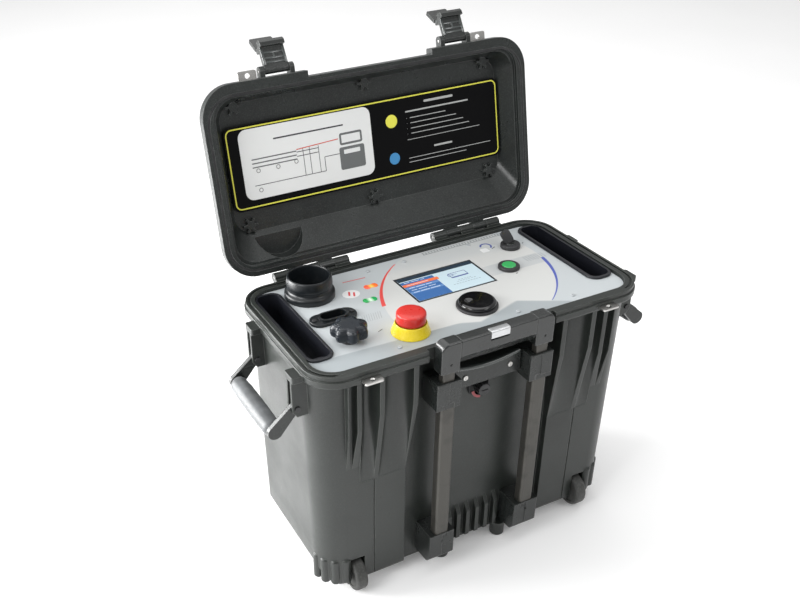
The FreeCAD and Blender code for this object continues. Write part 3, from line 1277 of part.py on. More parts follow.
def aux_socket():
    """Auxiliary connector body."""
    z = PANEL_Z + SEAT_GAP
    flange = soften(aux_oval(AUX_HALF_L, AUX_HALF_W, z, z + AUX_H - 3), 1.2, at_height(z + AUX_H - 3))
    collar = aux_oval(AUX_SOCKET_HALF_L + 3, AUX_SOCKET_HALF_W + 2.5, PANEL_Z - AUX_DEPTH, z + AUX_H)
    shape = flange.fuse(collar)
    cup = aux_oval(AUX_SOCKET_HALF_L, AUX_SOCKET_HALF_W, PANEL_Z - AUX_DEPTH + 5, z + AUX_H + 1)
    shape = shape.cut(cup)
    for i in (-1, 0, 1):
        spot = V(AUX_X + i * AUX_PIN_PITCH, AUX_Y, PANEL_Z - AUX_DEPTH - 1)
        shape = shape.cut(rod(AUX_PIN_R + PRESS_GAP, spot, Z_AXIS, 7))
    for s in (-1, 1):
        hole = rod(1.5 + PRESS_GAP, V(AUX_X + s * AUX_SCREW_X, AUX_Y, z - 2), Z_AXIS, 20)
        shape = shape.cut(hole)
    return shape


def aux_pins():
    """Contact pins of the auxiliary connector."""
    shapes = []
    for i in (-1, 0, 1):
        spot = V(AUX_X + i * AUX_PIN_PITCH, AUX_Y, PANEL_Z - AUX_DEPTH - 4)
        shapes.append(rod(AUX_PIN_R, spot, Z_AXIS, AUX_DEPTH + 2))
    return Part.makeCompound(shapes)


def aux_screws():
    """Countersunk screws of the auxiliary connector."""
    z = PANEL_Z + SEAT_GAP + AUX_H - 3
    shapes = []
    for s in (-1, 1):
        x = AUX_X + s * AUX_SCREW_X
        screw = rod(3.0, V(x, AUX_Y, z + SEAT_GAP), Z_AXIS, 1.4)
        screw = soften(screw, 0.5, at_height(z + SEAT_GAP + 1.4))
        screw = screw.fuse(rod(1.5, V(x, AUX_Y, PANEL_Z + 1), Z_AXIS, AUX_H - 3))
        shapes.append(screw.cut(box(x - 2, x + 2, AUX_Y - 0.4, AUX_Y + 0.4, z + SEAT_GAP + 0.8, z + 4)))
    return Part.makeCompound(shapes)


def ground_stud():
    """Earthing stud with its lock nut under the panel, ending inside the knob."""
    z0, z1 = PANEL_Z - STUD_UNDER, washer_z() + WASHER_T + SEAT_GAP + KNOB_H - STUD_SHORT
    stud = rod(STUD_R, V(KNOB_X, KNOB_Y, z0), Z_AXIS, z1 - z0)
    nut = rod(9.0, V(KNOB_X, KNOB_Y, PANEL_Z - PANEL_T - SEAT_GAP - 6), Z_AXIS, 6)
    seat = rod(12.0, V(KNOB_X, KNOB_Y, PANEL_Z + SEAT_GAP), Z_AXIS, 4)
    return stud.fuse(nut).fuse(seat)


def washer_z():
    """Underside of the clamping washer at rest."""
    return PANEL_Z + SEAT_GAP + 4 + SEAT_GAP


def ground_washer():
    """Brass washer that rides up and down with the star knob."""
    return ring(WASHER_R, STUD_R + PIN_GAP, V(KNOB_X, KNOB_Y, washer_z()), Z_AXIS, WASHER_T)


def ground_knob():
    """Seven-lobed clamping knob."""
    z0 = washer_z() + WASHER_T + SEAT_GAP
    hub = rod(KNOB_LOBE_R, V(KNOB_X, KNOB_Y, z0 + 2), Z_AXIS, KNOB_H - 2)
    lobes = []
    for i in range(KNOB_LOBES):
        a = 2 * math.pi * i / KNOB_LOBES
        r = KNOB_R - 6.5
        spot = V(KNOB_X + r * math.cos(a), KNOB_Y + r * math.sin(a), z0 + 2)
        lobes.append(rod(6.5, spot, Z_AXIS, KNOB_H - 5))
    body = fuse_all([hub] + lobes)
    for i in range(KNOB_LOBES):
        a = 2 * math.pi * (i + 0.5) / KNOB_LOBES
        r = KNOB_R + 1.0
        spot = V(KNOB_X + r * math.cos(a), KNOB_Y + r * math.sin(a), z0 - 1)
        body = body.cut(rod(7.5, spot, Z_AXIS, KNOB_H + 4))
    body = body.fuse(rod(WASHER_R + 1, V(KNOB_X, KNOB_Y, z0), Z_AXIS, 4))
    dish = rod(KNOB_LOBE_R - 8, V(KNOB_X, KNOB_Y, z0 + KNOB_H - 1.2), Z_AXIS, 3)
    bore = rod(STUD_R + PIN_GAP, V(KNOB_X, KNOB_Y, z0 - 1), Z_AXIS, KNOB_H - 3)
    return body.cut(dish).cut(bore).removeSplitter()


def estop_collar():
    """Yellow cone round the emergency-stop cap."""
    z = PANEL_Z + SEAT_GAP
    cone = Part.makeCone(COLLAR_R0, COLLAR_R1, COLLAR_H, V(ESTOP_X, ESTOP_Y, z), Z_AXIS)
    cup = rod(CAP_STEM_R + SEAT_GAP, V(ESTOP_X, ESTOP_Y, z - 1), Z_AXIS, COLLAR_H + 2)
    return cone.cut(cup)


def cap_z():
    """Underside of the emergency-stop cap at rest."""
    return PANEL_Z + SEAT_GAP + COLLAR_H + CAP_TRAVEL + SEAT_GAP


def estop_stem():
    """Stem that the emergency-stop cap pushes down."""
    z0 = PANEL_Z - PANEL_T - 2
    return rod(CAP_STEM_R, V(ESTOP_X, ESTOP_Y, z0 + CAP_TRAVEL), Z_AXIS, cap_z() - z0 - CAP_TRAVEL - SEAT_GAP)


def estop_cap():
    """Red mushroom cap of the emergency stop."""
    z = cap_z()
    cap = rod(CAP_R, V(ESTOP_X, ESTOP_Y, z), Z_AXIS, CAP_H)
    return soften(cap, 3.5, at_height(z + CAP_H))


def estop_block():
    """Contact block of the emergency stop under the panel."""
    h, z1 = SWITCH_BLOCK / 2, PANEL_Z - PANEL_T - SEAT_GAP
    shape = box(ESTOP_X - h, ESTOP_X + h, ESTOP_Y - h, ESTOP_Y + h, z1 - SWITCH_BLOCK_H, z1)
    return shape.cut(rod(CAP_STEM_R + 1, V(ESTOP_X, ESTOP_Y, z1 - 8), Z_AXIS, 20))


def jog_encoder():
    """Rotary encoder with its bezel ring and shaft."""
    z = PANEL_Z + SEAT_GAP
    bezel = soften(rod(JOG_BASE_R, V(JOG_X, JOG_Y, z), Z_AXIS, 3), 1.0, at_height(z + 3))
    neck = rod(JOG_SHAFT_R + 3, V(JOG_X, JOG_Y, PANEL_Z - 16), Z_AXIS, 18)
    body = box(JOG_X - 13, JOG_X + 13, JOG_Y - 13, JOG_Y + 13, PANEL_Z - 26, PANEL_Z - PANEL_T - SEAT_GAP)
    shaft = rod(JOG_SHAFT_R, V(JOG_X, JOG_Y, z), Z_AXIS, JOG_KNOB_H)
    return fuse_all([bezel, neck, body, shaft])


def jog_knob():
    """Round dial with a finger dimple."""
    z = PANEL_Z + 2 * SEAT_GAP + 3
    knob = soften(rod(JOG_KNOB_R, V(JOG_X, JOG_Y, z), Z_AXIS, JOG_KNOB_H), 3.0, at_height(z + JOG_KNOB_H))
    dimple = Part.makeSphere(14, V(JOG_X - 9, JOG_Y + 5, z + JOG_KNOB_H + 12))
    bore = rod(JOG_SHAFT_R + PIN_GAP, V(JOG_X, JOG_Y, z - 1), Z_AXIS, JOG_KNOB_H - 2.2)
    return knob.cut(dimple).cut(bore)


def start_switch():
    """Housing of the illuminated start button."""
    z = PANEL_Z + SEAT_GAP
    bezel = soften(rod(START_BEZEL_R, V(START_X, START_Y, z), Z_AXIS, START_H), 1.5, at_height(z + START_H))
    neck = rod(START_LENS_R, V(START_X, START_Y, PANEL_Z - PANEL_T - 1), Z_AXIS, PANEL_T + 2)
    h = SWITCH_BLOCK / 2 - 2
    z1 = PANEL_Z - PANEL_T - SEAT_GAP
    block = box(START_X - h, START_X + h, START_Y - h, START_Y + h, z1 - SWITCH_BLOCK_H, z1)
    shape = fuse_all([bezel, neck, block])
    return shape.cut(rod(START_LENS_R - 1 + PIN_GAP, V(START_X, START_Y, z1 - 6), Z_AXIS, 30))


def start_button():
    """Green lens of the start button."""
    z0 = PANEL_Z - PANEL_T - SEAT_GAP - 6 + START_TRAVEL + SEAT_GAP
    z1 = PANEL_Z + SEAT_GAP + START_H + 0.8
    return soften(rod(START_LENS_R - 1, V(START_X, START_Y, z0), Z_AXIS, z1 - z0), 1.2, at_height(z1))


def key_housing():
    """Bezel and body of the key switch."""
    z = PANEL_Z + SEAT_GAP
    bezel = soften(rod(KEY_BEZEL_R, V(KEY_X, KEY_Y, z), Z_AXIS, KEY_H), 2.0, at_height(z + KEY_H))
    body = rod(KEY_BARREL_R + 2, V(KEY_X, KEY_Y, PANEL_Z - 34), Z_AXIS, 36)
    return bezel.fuse(body).cut(rod(KEY_BARREL_R + PIN_GAP, V(KEY_X, KEY_Y, PANEL_Z - 30), Z_AXIS, 60))


def key_barrel():
    """Turning lock barrel with its key."""
    z1 = PANEL_Z + SEAT_GAP + KEY_H + 0.6
    barrel = rod(KEY_BARREL_R, V(KEY_X, KEY_Y, PANEL_Z - 29), Z_AXIS, z1 - PANEL_Z + 29)
    half = KEY_BOW_W / 2
    bow = box(KEY_X - 1.8, KEY_X + 1.8, KEY_Y - half + 3, KEY_Y + half + 3, z1 + 2, z1 + KEY_BOW_H)
    bow = soften(bow, 4.0, lambda e: e.BoundBox.XLength > 1 and e.BoundBox.YLength < 0.01
                 and e.BoundBox.ZMin > z1 + 3)
    neck = box(KEY_X - 1.4, KEY_X + 1.4, KEY_Y - 4, KEY_Y + 4, z1 - 4, z1 + 3)
    return fuse_all([barrel, bow, neck])


def display_block(grow, z0, z1):
    """Block the size of the display opening, grown all round."""
    hx, hy = DISPLAY_HALF_X + grow, DISPLAY_HALF_Y + grow
    return box(DISPLAY_X - hx, DISPLAY_X + hx, DISPLAY_Y - hy, DISPLAY_Y + hy, z0, z1)


def display_module():
    """Display housing under the panel opening."""
    z1 = PANEL_Z - DISPLAY_DROP
    outer = display_block(0.0, z1 - DISPLAY_DEPTH, z1)
    ledge = display_block(DISPLAY_LEDGE, z1 - DISPLAY_DEPTH, PANEL_Z - PANEL_T - SEAT_GAP)
    well = display_block(-DISPLAY_FRAME, z1 - DISPLAY_WELL, z1 + 1)
    return outer.fuse(ledge).removeSplitter().cut(well)


def display_window():
    """Clear window over the display."""
    z0 = PANEL_Z - DISPLAY_DROP - DISPLAY_WELL + SEAT_GAP
    return display_block(-DISPLAY_FRAME - SEAT_GAP, z0, PANEL_Z - DISPLAY_DROP / 2)


# ---- inside the case ----
def chassis_z():
    """Top of the chassis floor."""
    return CAVITY_Z + SEAT_GAP + CHASSIS_T


def chassis():
    """Sheet-metal tray that carries the inner units."""
    z0 = CAVITY_Z + SEAT_GAP
    floor = slab(CHASSIS_HALF_X, CHASSIS_HALF_Y, 12.0, z0, z0 + CHASSIS_T)
    relief = WHEEL_X - WHEEL_W / 2 - WELL_SIDE - WELL_WALL - 2
    depth = WHEEL_Y + WHEEL_R + WELL_GAP + WELL_WALL + 2
    for side in (1, -1):
        corner = box(relief, CHASSIS_HALF_X + 1, -CHASSIS_HALF_Y - 1, depth, z0 - 1, z0 + CHASSIS_T + 1)
        floor = floor.cut(corner if side > 0 else flip_x(corner))
    walls = []
    for side in (1, -1):
        x = side * (CHASSIS_HALF_X - 10)
        low, high = min(x, x - side * CHASSIS_T), max(x, x - side * CHASSIS_T)
        walls.append(box(low, high, depth + 4, CHASSIS_HALF_Y - 14, z0, z0 + CHASSIS_WALL_H))
    return fuse_all([floor] + walls)


def transformer():
    """High-voltage transformer tank with three insulators."""
    lx, ly, lz = TRANSFORMER
    z0 = chassis_z() + SEAT_GAP
    x0 = TRANSFORMER_X - lx / 2
    tank = round_slab(x0, x0 + lx, -ly / 2, ly / 2, 10, z0, z0 + lz)
    parts = [tank]
    for i in (-1, 0, 1):
        parts.append(Part.makeCone(12, 6, 35, V(TRANSFORMER_X + i * 38, 0, z0 + lz - 1), Z_AXIS))
    return fuse_all(parts)


def rectifier_stack():
    """Ribbed high-voltage rectifier and capacitor column."""
    z0 = chassis_z() + SEAT_GAP
    parts = [rod(STACK_R - 5, V(STACK_X, 0, z0), Z_AXIS, STACK_H)]
    for i in range(7):
        parts.append(rod(STACK_R, V(STACK_X, 0, z0 + i * (STACK_H - 8) / 6), Z_AXIS, 8))
    return fuse_all(parts)


def power_supply():
    """Boxed low-voltage supply with a vent grille."""
    lx, ly, lz = SUPPLY
    z0 = chassis_z() + SEAT_GAP
    x0 = SUPPLY_X - lx / 2
    case = round_slab(x0, x0 + lx, -ly / 2, ly / 2, 4, z0, z0 + lz)
    for i in range(8):
        y = -ly / 2 + 12 + i * (ly - 24) / 7
        case = case.cut(box(x0 + 10, x0 + lx - 10, y - 2, y + 2, z0 + lz - 3, z0 + lz + 1))
    return case


def control_board():
    """Controller board hung from the panel on four posts."""
    z1 = PANEL_Z - PANEL_T - SEAT_GAP
    z0 = z1 - BOARD_DROP
    post = 2.5
    reach_x = DISPLAY_HALF_X + DISPLAY_LEDGE + 2 * post + 1
    reach_y = DISPLAY_HALF_Y - 2
    x0, x1 = DISPLAY_X - reach_x, DISPLAY_X + reach_x
    y0, y1 = DISPLAY_Y - reach_y, DISPLAY_Y + reach_y
    parts = [box(x0, x1, y0, y1, z0, z0 + BOARD_T)]
    for x in (x0 + post, x1 - post):
        for y in (y0 + 3.5, y1 - 3.5):
            parts.append(rod(post - 0.2, V(x, y, z0), Z_AXIS, z1 - z0))
    for across, back, w, d, h in BOARD_CHIPS:
        parts.append(box(x0 + across, x0 + across + w, y0 + back, y0 + back + d, z0 + 1, z0 + BOARD_T + h))
    return fuse_all(parts)


PIECES = {
    "base_shell": base_shell,
    "base_padlock_plates": base_padlock_plates,
    "hinge_pins": hinge_pins,
    "wheel_axles": wheel_axles,
    "wheel_right": wheel,
    "wheel_left": lambda: flip_x(wheel()),
    "trolley_outer_tubes": trolley_outer_tubes,
    "trolley_top_brackets": trolley_top_brackets,
    "trolley_bottom_brackets": trolley_bottom_brackets,
    "trolley_cross_brace": trolley_cross_brace,
    "trolley_brace_screws": trolley_screws,
    "trolley_inner_tubes": trolley_inner_tubes,
    "trolley_grip": trolley_grip,
    "trolley_button": trolley_button,
    "valve_seat": valve_seat,
    "valve_knob": valve_knob,
    "side_handle_left_arms": lambda: side_handle_arms(-1),
    "side_handle_left_grip": lambda: side_handle_grip(-1),
    "side_handle_right_arms": lambda: side_handle_arms(1),
    "side_handle_right_grip": lambda: side_handle_grip(1),
    "side_handle_pins": side_handle_pins,
    "lid_shell": lid_shell,
    "lid_seal": lid_seal,
    "lid_label": lid_label,
    "lid_padlock_plates": lid_padlock_plates,
    "latch_pins": latch_pins,
    "latch_left_arm": lambda: latch_arm(-1),
    "latch_left_lever": lambda: latch_lever(-1),
    "latch_right_arm": lambda: latch_arm(1),
    "latch_right_lever": lambda: latch_lever(1),
    "panel_plate": panel_plate,
    "panel_screws": panel_screws,
    "tray_left": lambda: tray(-1),
    "tray_right": lambda: tray(1),
    "hv_socket": hv_socket,
    "hv_contact": hv_contact,
    "aux_socket": aux_socket,
    "aux_pins": aux_pins,
    "aux_screws": aux_screws,
    "ground_stud": ground_stud,
    "ground_washer": ground_washer,
    "ground_knob": ground_knob,
    "estop_collar": estop_collar,
    "estop_stem": estop_stem,
    "estop_cap": estop_cap,
    "estop_block": estop_block,
    "jog_encoder": jog_encoder,
    "jog_knob": jog_knob,
    "start_switch": start_switch,
    "start_button": start_button,
    "key_housing": key_housing,
    "key_barrel": key_barrel,
    "display_module": display_module,
    "display_window": display_window,
    "lamp_lenses": lamp_lenses,
    "chassis": chassis,
    "transformer": transformer,
    "rectifier_stack": rectifier_stack,
    "power_supply": power_supply,
    "control_board": control_board,
}

os.makedirs("parts", exist_ok=True)
made = {name: build() for name, build in PIECES.items()}
whole = Part.makeCompound(list(made.values())).optimalBoundingBox(False, False)
shift = V(0, -round(whole.Center.y, 3), 0)
print("frame shift", round(shift.x, 4), round(shift.y, 4), round(shift.z, 4))
for name, shape in made.items():
    shape.translate(shift)
    shape.exportStep("parts/" + name + ".step")
print(len(made), "pieces")
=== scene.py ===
"""Studio scene of a high-voltage insulation tester built into a wheeled hard case.

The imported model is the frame. Every sub-assembly below is a class that dresses the frame's own
nodes in a finish and adds the printed, moulded and turned detail that the frame leaves out.
Lengths inside the classes are millimetres about the middle of the base; Placing turns them into
the frame's metres.
"""

from __future__ import annotations

import json
import logging
import math
from dataclasses import dataclass
from enum import Enum
from typing import Callable, Iterable, Sequence

import bmesh
import bpy
from mathutils import Matrix, Vector

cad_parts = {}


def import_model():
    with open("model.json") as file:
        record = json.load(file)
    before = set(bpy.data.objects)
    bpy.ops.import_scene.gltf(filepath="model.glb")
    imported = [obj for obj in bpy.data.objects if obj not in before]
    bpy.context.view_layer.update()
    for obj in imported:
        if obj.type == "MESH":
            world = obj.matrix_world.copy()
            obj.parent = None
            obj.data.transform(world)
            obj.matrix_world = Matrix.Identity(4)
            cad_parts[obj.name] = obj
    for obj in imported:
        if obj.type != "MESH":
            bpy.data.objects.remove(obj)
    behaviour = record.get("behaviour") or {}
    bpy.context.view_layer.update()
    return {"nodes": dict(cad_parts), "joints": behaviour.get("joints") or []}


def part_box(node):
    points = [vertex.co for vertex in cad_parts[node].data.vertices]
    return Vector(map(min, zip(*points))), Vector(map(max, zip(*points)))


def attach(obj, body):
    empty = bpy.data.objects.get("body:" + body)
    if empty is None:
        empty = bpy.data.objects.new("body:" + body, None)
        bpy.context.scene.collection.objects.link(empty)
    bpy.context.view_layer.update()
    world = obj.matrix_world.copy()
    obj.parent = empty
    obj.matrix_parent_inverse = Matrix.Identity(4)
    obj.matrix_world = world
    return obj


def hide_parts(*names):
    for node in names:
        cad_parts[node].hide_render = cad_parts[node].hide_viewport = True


LOG = logging.getLogger("tester")
MM = 0.001
FULL_TURN = 2 * math.pi
Colour = tuple[float, float, float]
Point = tuple[float, float, float]


class Blend(Enum):
    """How two colours are laid over each other."""

    MIX = "MIX"
    MULTIPLY = "MULTIPLY"
    SCREEN = "SCREEN"


# ---- shader graphs ----
class Graph:
    """Adds shader nodes to one new material and links them."""

    def __init__(self, name: str) -> None:
        """Starts a material.

        Args:
            name: The name of the material.
        """
        self.material = bpy.data.materials.new(name)
        self.material.use_nodes = True
        self.tree = self.material.node_tree
        self.shader = self.tree.nodes["Principled BSDF"]

    def node(self, kind: str, **attributes: object) -> bpy.types.Node:
        """Adds a node.

        Args:
            kind: The node's class, without the ShaderNode prefix.
            **attributes: Values for the node's own attributes.

        Returns:
            The new node.
        """
        made = self.tree.nodes.new("ShaderNode" + kind)
        for key, value in attributes.items():
            setattr(made, key, value)
        return made

    def feed(self, socket: bpy.types.NodeSocket, value: object) -> None:
        """Links an output to a socket, or sets the socket's own value.

        Args:
            socket: The input to fill.
            value: An output socket, a number, or a colour or vector of three.
        """
        if isinstance(value, bpy.types.NodeSocket):
            self.tree.links.new(value, socket)
        elif isinstance(value, (tuple, list, Vector)) and len(socket.default_value) == 4:
            socket.default_value = (*value, 1.0)
        else:
            socket.default_value = value

    def place(self, centre: Point = (0, 0, 0), scale: Point = (1, 1, 1), turn: Point = (0, 0, 0)
              ) -> bpy.types.NodeSocket:
        """Object coordinates moved so that a point is the origin, then turned and scaled.

        Args:
            centre: The point in metres that becomes the origin.
            scale: How much each axis is stretched.
            turn: Euler angles in radians.

        Returns:
            The vector output.
        """
        coords = self.node("TexCoord").outputs["Object"]
        moved = self.node("VectorMath", operation="SUBTRACT")
        self.feed(moved.inputs[0], coords)
        self.feed(moved.inputs[1], centre)
        mapping = self.node("Mapping")
        self.feed(mapping.inputs["Vector"], moved.outputs[0])
        self.feed(mapping.inputs["Rotation"], turn)
        self.feed(mapping.inputs["Scale"], scale)
        return mapping.outputs[0]

    def noise(self, vector: bpy.types.NodeSocket, scale: float, detail: float = 3.0,
              rough: float = 0.55) -> bpy.types.NodeSocket:
        """Fractal noise between 0 and 1.

        Args:
            vector: The coordinates.
            scale: Repeats per metre.
            detail: Number of octaves.
            rough: Strength of each finer octave.

        Returns:
            The factor output.
        """
        made = self.node("TexNoise")
        self.feed(made.inputs["Vector"], vector)
        self.feed(made.inputs["Scale"], scale)
        self.feed(made.inputs["Detail"], detail)
        self.feed(made.inputs["Roughness"], rough)
        return made.outputs[0]

    def math(self, operation: str, first: object, second: object = 0.0) -> bpy.types.NodeSocket:
        """One arithmetic step.

        Args:
            operation: The Math node's operation.
            first: Left operand.
            second: Right operand.

        Returns:
            The value output.
        """
        made = self.node("Math", operation=operation)
        self.feed(made.inputs[0], first)
        self.feed(made.inputs[1], second)
        return made.outputs[0]

    def step(self, value: object, low: float, high: float, start: float = 0.0, end: float = 1.0
             ) -> bpy.types.NodeSocket:
        """Clamped straight ramp between two values.

        Args:
            value: What is mapped.
            low: The value that gives start.
            high: The value that gives end.
            start: Output at low.
            end: Output at high.

        Returns:
            The result output.
        """
        made = self.node("MapRange", clamp=True)
        for key, entry in zip(("Value", "From Min", "From Max", "To Min", "To Max"),
                              (value, low, high, start, end)):
            self.feed(made.inputs[key], entry)
        return made.outputs[0]

    def mix(self, factor: object, under: object, over: object, blend: Blend = Blend.MIX
            ) -> bpy.types.NodeSocket:
        """Lays one colour over another.

        Args:
            factor: How much of the upper colour shows.
            under: The lower colour.
            over: The upper colour.
            blend: The way they are laid.

        Returns:
            The colour output.
        """
        made = self.node("Mix", data_type="RGBA", blend_type=blend.value)
        self.feed(made.inputs[0], factor)
        self.feed(made.inputs[6], under)
        self.feed(made.inputs[7], over)
        return made.outputs[2]

    def split(self, vector: bpy.types.NodeSocket) -> list[bpy.types.NodeSocket]:
        """The three parts of a vector."""
        made = self.node("SeparateXYZ")
        self.feed(made.inputs[0], vector)
        return list(made.outputs)

    def bump(self, height: bpy.types.NodeSocket, depth: float, strength: float = 1.0,
             normal: bpy.types.NodeSocket | None = None) -> bpy.types.NodeSocket:
        """Surface relief.

        Args:
            height: Height between 0 and 1.
            depth: What a height of 1 stands for, in metres.
            strength: How strongly the relief is seen.
            normal: The normal that the relief is laid on.

        Returns:
            The normal output.
        """
        made = self.node("Bump")
        self.feed(made.inputs["Height"], height)
        self.feed(made.inputs["Distance"], depth)
        self.feed(made.inputs["Strength"], strength)
        if normal is not None:
            self.feed(made.inputs["Normal"], normal)
        return made.outputs[0]

    def soft_edge(self, radius: float) -> tuple[bpy.types.NodeSocket, bpy.types.NodeSocket]:
        """Rounded look of hard edges.

        Args:
            radius: The radius of the rounding in metres.

        Returns:
            The rounded normal, and a mask that is 1 along edges.
        """
        made = self.node("Bevel", samples=6)
        self.feed(made.inputs["Radius"], radius)
        flat = self.node("NewGeometry").outputs["Normal"]
        dot = self.node("VectorMath", operation="DOT_PRODUCT")
        self.feed(dot.inputs[0], made.outputs[0])
        self.feed(dot.inputs[1], flat)
        return made.outputs[0], self.step(dot.outputs["Value"], 0.99, 0.86)

    def surface(self, colour: object, rough: object, normal: bpy.types.NodeSocket | None = None,
                metal: float = 0.0) -> None:
        """Fills the main inputs of the shader.

        Args:
            colour: Base colour.
            rough: Roughness.
            normal: Surface normal.
            metal: Metallic value.
        """
        self.feed(self.shader.inputs["Base Color"], colour)
        self.feed(self.shader.inputs["Roughness"], rough)
        self.feed(self.shader.inputs["Metallic"], metal)
        if normal is not None:
            self.feed(self.shader.inputs["Normal"], normal)


# ---- finishes ----
@dataclass(frozen=True)
class Finish:
    """A named look. Each kind of finish knows how to draw itself."""

    name: str
    colour: Colour

    def make(self) -> bpy.types.Material:
        """The material, built once for each name."""
        found = bpy.data.materials.get(self.name)
        return found or self.draw(Graph(self.name)).material

    def draw(self, graph: Graph) -> Graph:
        """Draws the look.

        Args:
            graph: The empty material.

        Returns:
            The same graph, filled.
        """
        raise NotImplementedError


@dataclass(frozen=True)
class MouldedPlastic(Finish):
    """Grained moulding with cloudy tone, scuffs, pale specks and paler edges, the edges lightened partly by wear
    and partly as a painted highlight.
    """

    # Colour of the pale specks and of the lightened edges; on the edges it is partly a painted highlight.
    worn_and_highlight: Colour
    rough: float = 0.5
    cloud: float = 0.35
    cloud_scale: float = 16.0
    speck: float = 0.25
    speck_scale: float = 310.0
    grain: float = 0.00012
    grain_scale: float = 1500.0
    edge: float = 0.0012
    # Strength of the edge lightening: partly wear, partly a painted highlight.
    edge_wear_and_highlight: float = 0.35
    coat: float = 0.0

    def draw(self, graph: Graph) -> Graph:
        """Draws the moulding."""
        spot = graph.place()
        clouds = graph.step(graph.noise(spot, self.cloud_scale, 4.0, 0.6), 0.35, 0.68)
        specks = graph.step(graph.noise(spot, self.speck_scale, 3.0, 0.6), 0.48, 0.72)
        scuffs = graph.step(graph.noise(graph.place(scale=(9.0, 9.0, 1.4)), 26.0, 5.0, 0.7), 0.6, 0.74)
        dark = tuple(c * (1 - self.cloud) for c in self.colour)
        light = tuple(c * (1 + self.cloud) for c in self.colour)
        tone = graph.mix(clouds, dark, light)
        tone = graph.mix(graph.math("MULTIPLY", specks, self.speck), tone, self.worn_and_highlight)
        normal, mask = graph.soft_edge(self.edge)
        # Edges lightened towards the worn colour: partly real wear, partly a painted highlight along the edges.
        rubbed_and_lit_edges = graph.math("MULTIPLY", mask, graph.step(graph.noise(spot, 90.0), 0.3, 0.6, 0.35, 1.0))
        tone = graph.mix(graph.math("MULTIPLY", rubbed_and_lit_edges, self.edge_wear_and_highlight), tone, self.worn_and_highlight)
        rough = graph.step(clouds, 0.0, 1.0, self.rough + 0.07, self.rough - 0.06)
        rough = graph.math("SUBTRACT", rough, graph.math("MULTIPLY", scuffs, 0.06))
        height = graph.noise(spot, self.grain_scale, 2.0)
        graph.surface(tone, rough, graph.bump(height, self.grain, 0.8, normal))
        graph.shader.inputs["Coat Weight"].default_value = self.coat
        graph.shader.inputs["Coat Roughness"].default_value = 0.2
        return graph


@dataclass(frozen=True)
class PlainPlastic(Finish):
    """Smooth moulding or paint with a faint unevenness."""

    rough: float = 0.3
    vary: float = 0.12
    edge: float = 0.0005
    coat: float = 0.0
    glow: float = 0.0
    shine: float = 0.5

    def draw(self, graph: Graph) -> Graph:
        """Draws the moulding."""
        spot = graph.place()
        haze = graph.noise(spot, 60.0, 3.0)
        dark = tuple(c * (1 - self.vary) for c in self.colour)
        tone = graph.mix(haze, dark, self.colour)
        rough = graph.step(graph.noise(spot, 180.0), 0.3, 0.7, self.rough * 0.85, self.rough * 1.15)
        normal, _ = graph.soft_edge(self.edge)
        graph.surface(tone, rough, graph.bump(graph.noise(spot, 700.0), 0.00003, 0.5, normal))
        graph.shader.inputs["Coat Weight"].default_value = self.coat
        graph.shader.inputs["Coat Roughness"].default_value = 0.06
        graph.shader.inputs["Specular IOR Level"].default_value = self.shine
        graph.shader.inputs["Emission Color"].default_value = (*self.colour, 1.0)
        graph.shader.inputs["Emission Strength"].default_value = self.glow
        return graph


@dataclass(frozen=True)
class WorkedMetal(Finish):
    """Brushed, turned or anodised metal with smudges."""

    rough: float = 0.35
    metal: float = 1.0
    smudge: Colour = (0.1, 0.1, 0.1)
    smudges: float = 0.3
    brush: Point = (1.0, 1.0, 30.0)
    relief: float = 0.00002
    edge: float = 0.0005

    def draw(self, graph: Graph) -> Graph:
        """Draws the metal."""
        spot = graph.place()
        lines = graph.noise(graph.place(scale=self.brush), 160.0, 4.0, 0.65)
        marks = graph.step(graph.noise(spot, 38.0, 5.0, 0.62), 0.5, 0.72)
        tone = graph.mix(graph.math("MULTIPLY", marks, self.smudges), self.colour, self.smudge)
        tone = graph.mix(graph.step(lines, 0.3, 0.7, 0.0, 0.18), tone, (0.02, 0.02, 0.02))
        rough = graph.step(lines, 0.3, 0.7, self.rough * 0.8, self.rough * 1.25)
        normal, _ = graph.soft_edge(self.edge)
        graph.surface(tone, rough, graph.bump(lines, self.relief, 0.6, normal), self.metal)
        return graph


@dataclass(frozen=True)
class SoftRubber(Finish):
    """Matt rubber with a fine tooth and dusty bloom."""

    bloom: Colour = (0.3, 0.3, 0.3)
    rough: float = 0.75
    tooth: float = 0.0001
    edge: float = 0.0008

    def draw(self, graph: Graph) -> Graph:
        """Draws the rubber."""
        spot = graph.place()
        dust = graph.step(graph.noise(spot, 45.0, 5.0, 0.65), 0.42, 0.75)
        tone = graph.mix(graph.math("MULTIPLY", dust, 0.35), self.colour, self.bloom)
        normal, mask = graph.soft_edge(self.edge)
        tone = graph.mix(graph.math("MULTIPLY", mask, 0.25), tone, self.bloom)
        graph.surface(tone, self.rough, graph.bump(graph.noise(spot, 1900.0, 2.0), self.tooth, 0.8, normal))
        graph.shader.inputs["Sheen Weight"].default_value = 0.15
        graph.shader.inputs["Sheen Roughness"].default_value = 0.5
        return graph


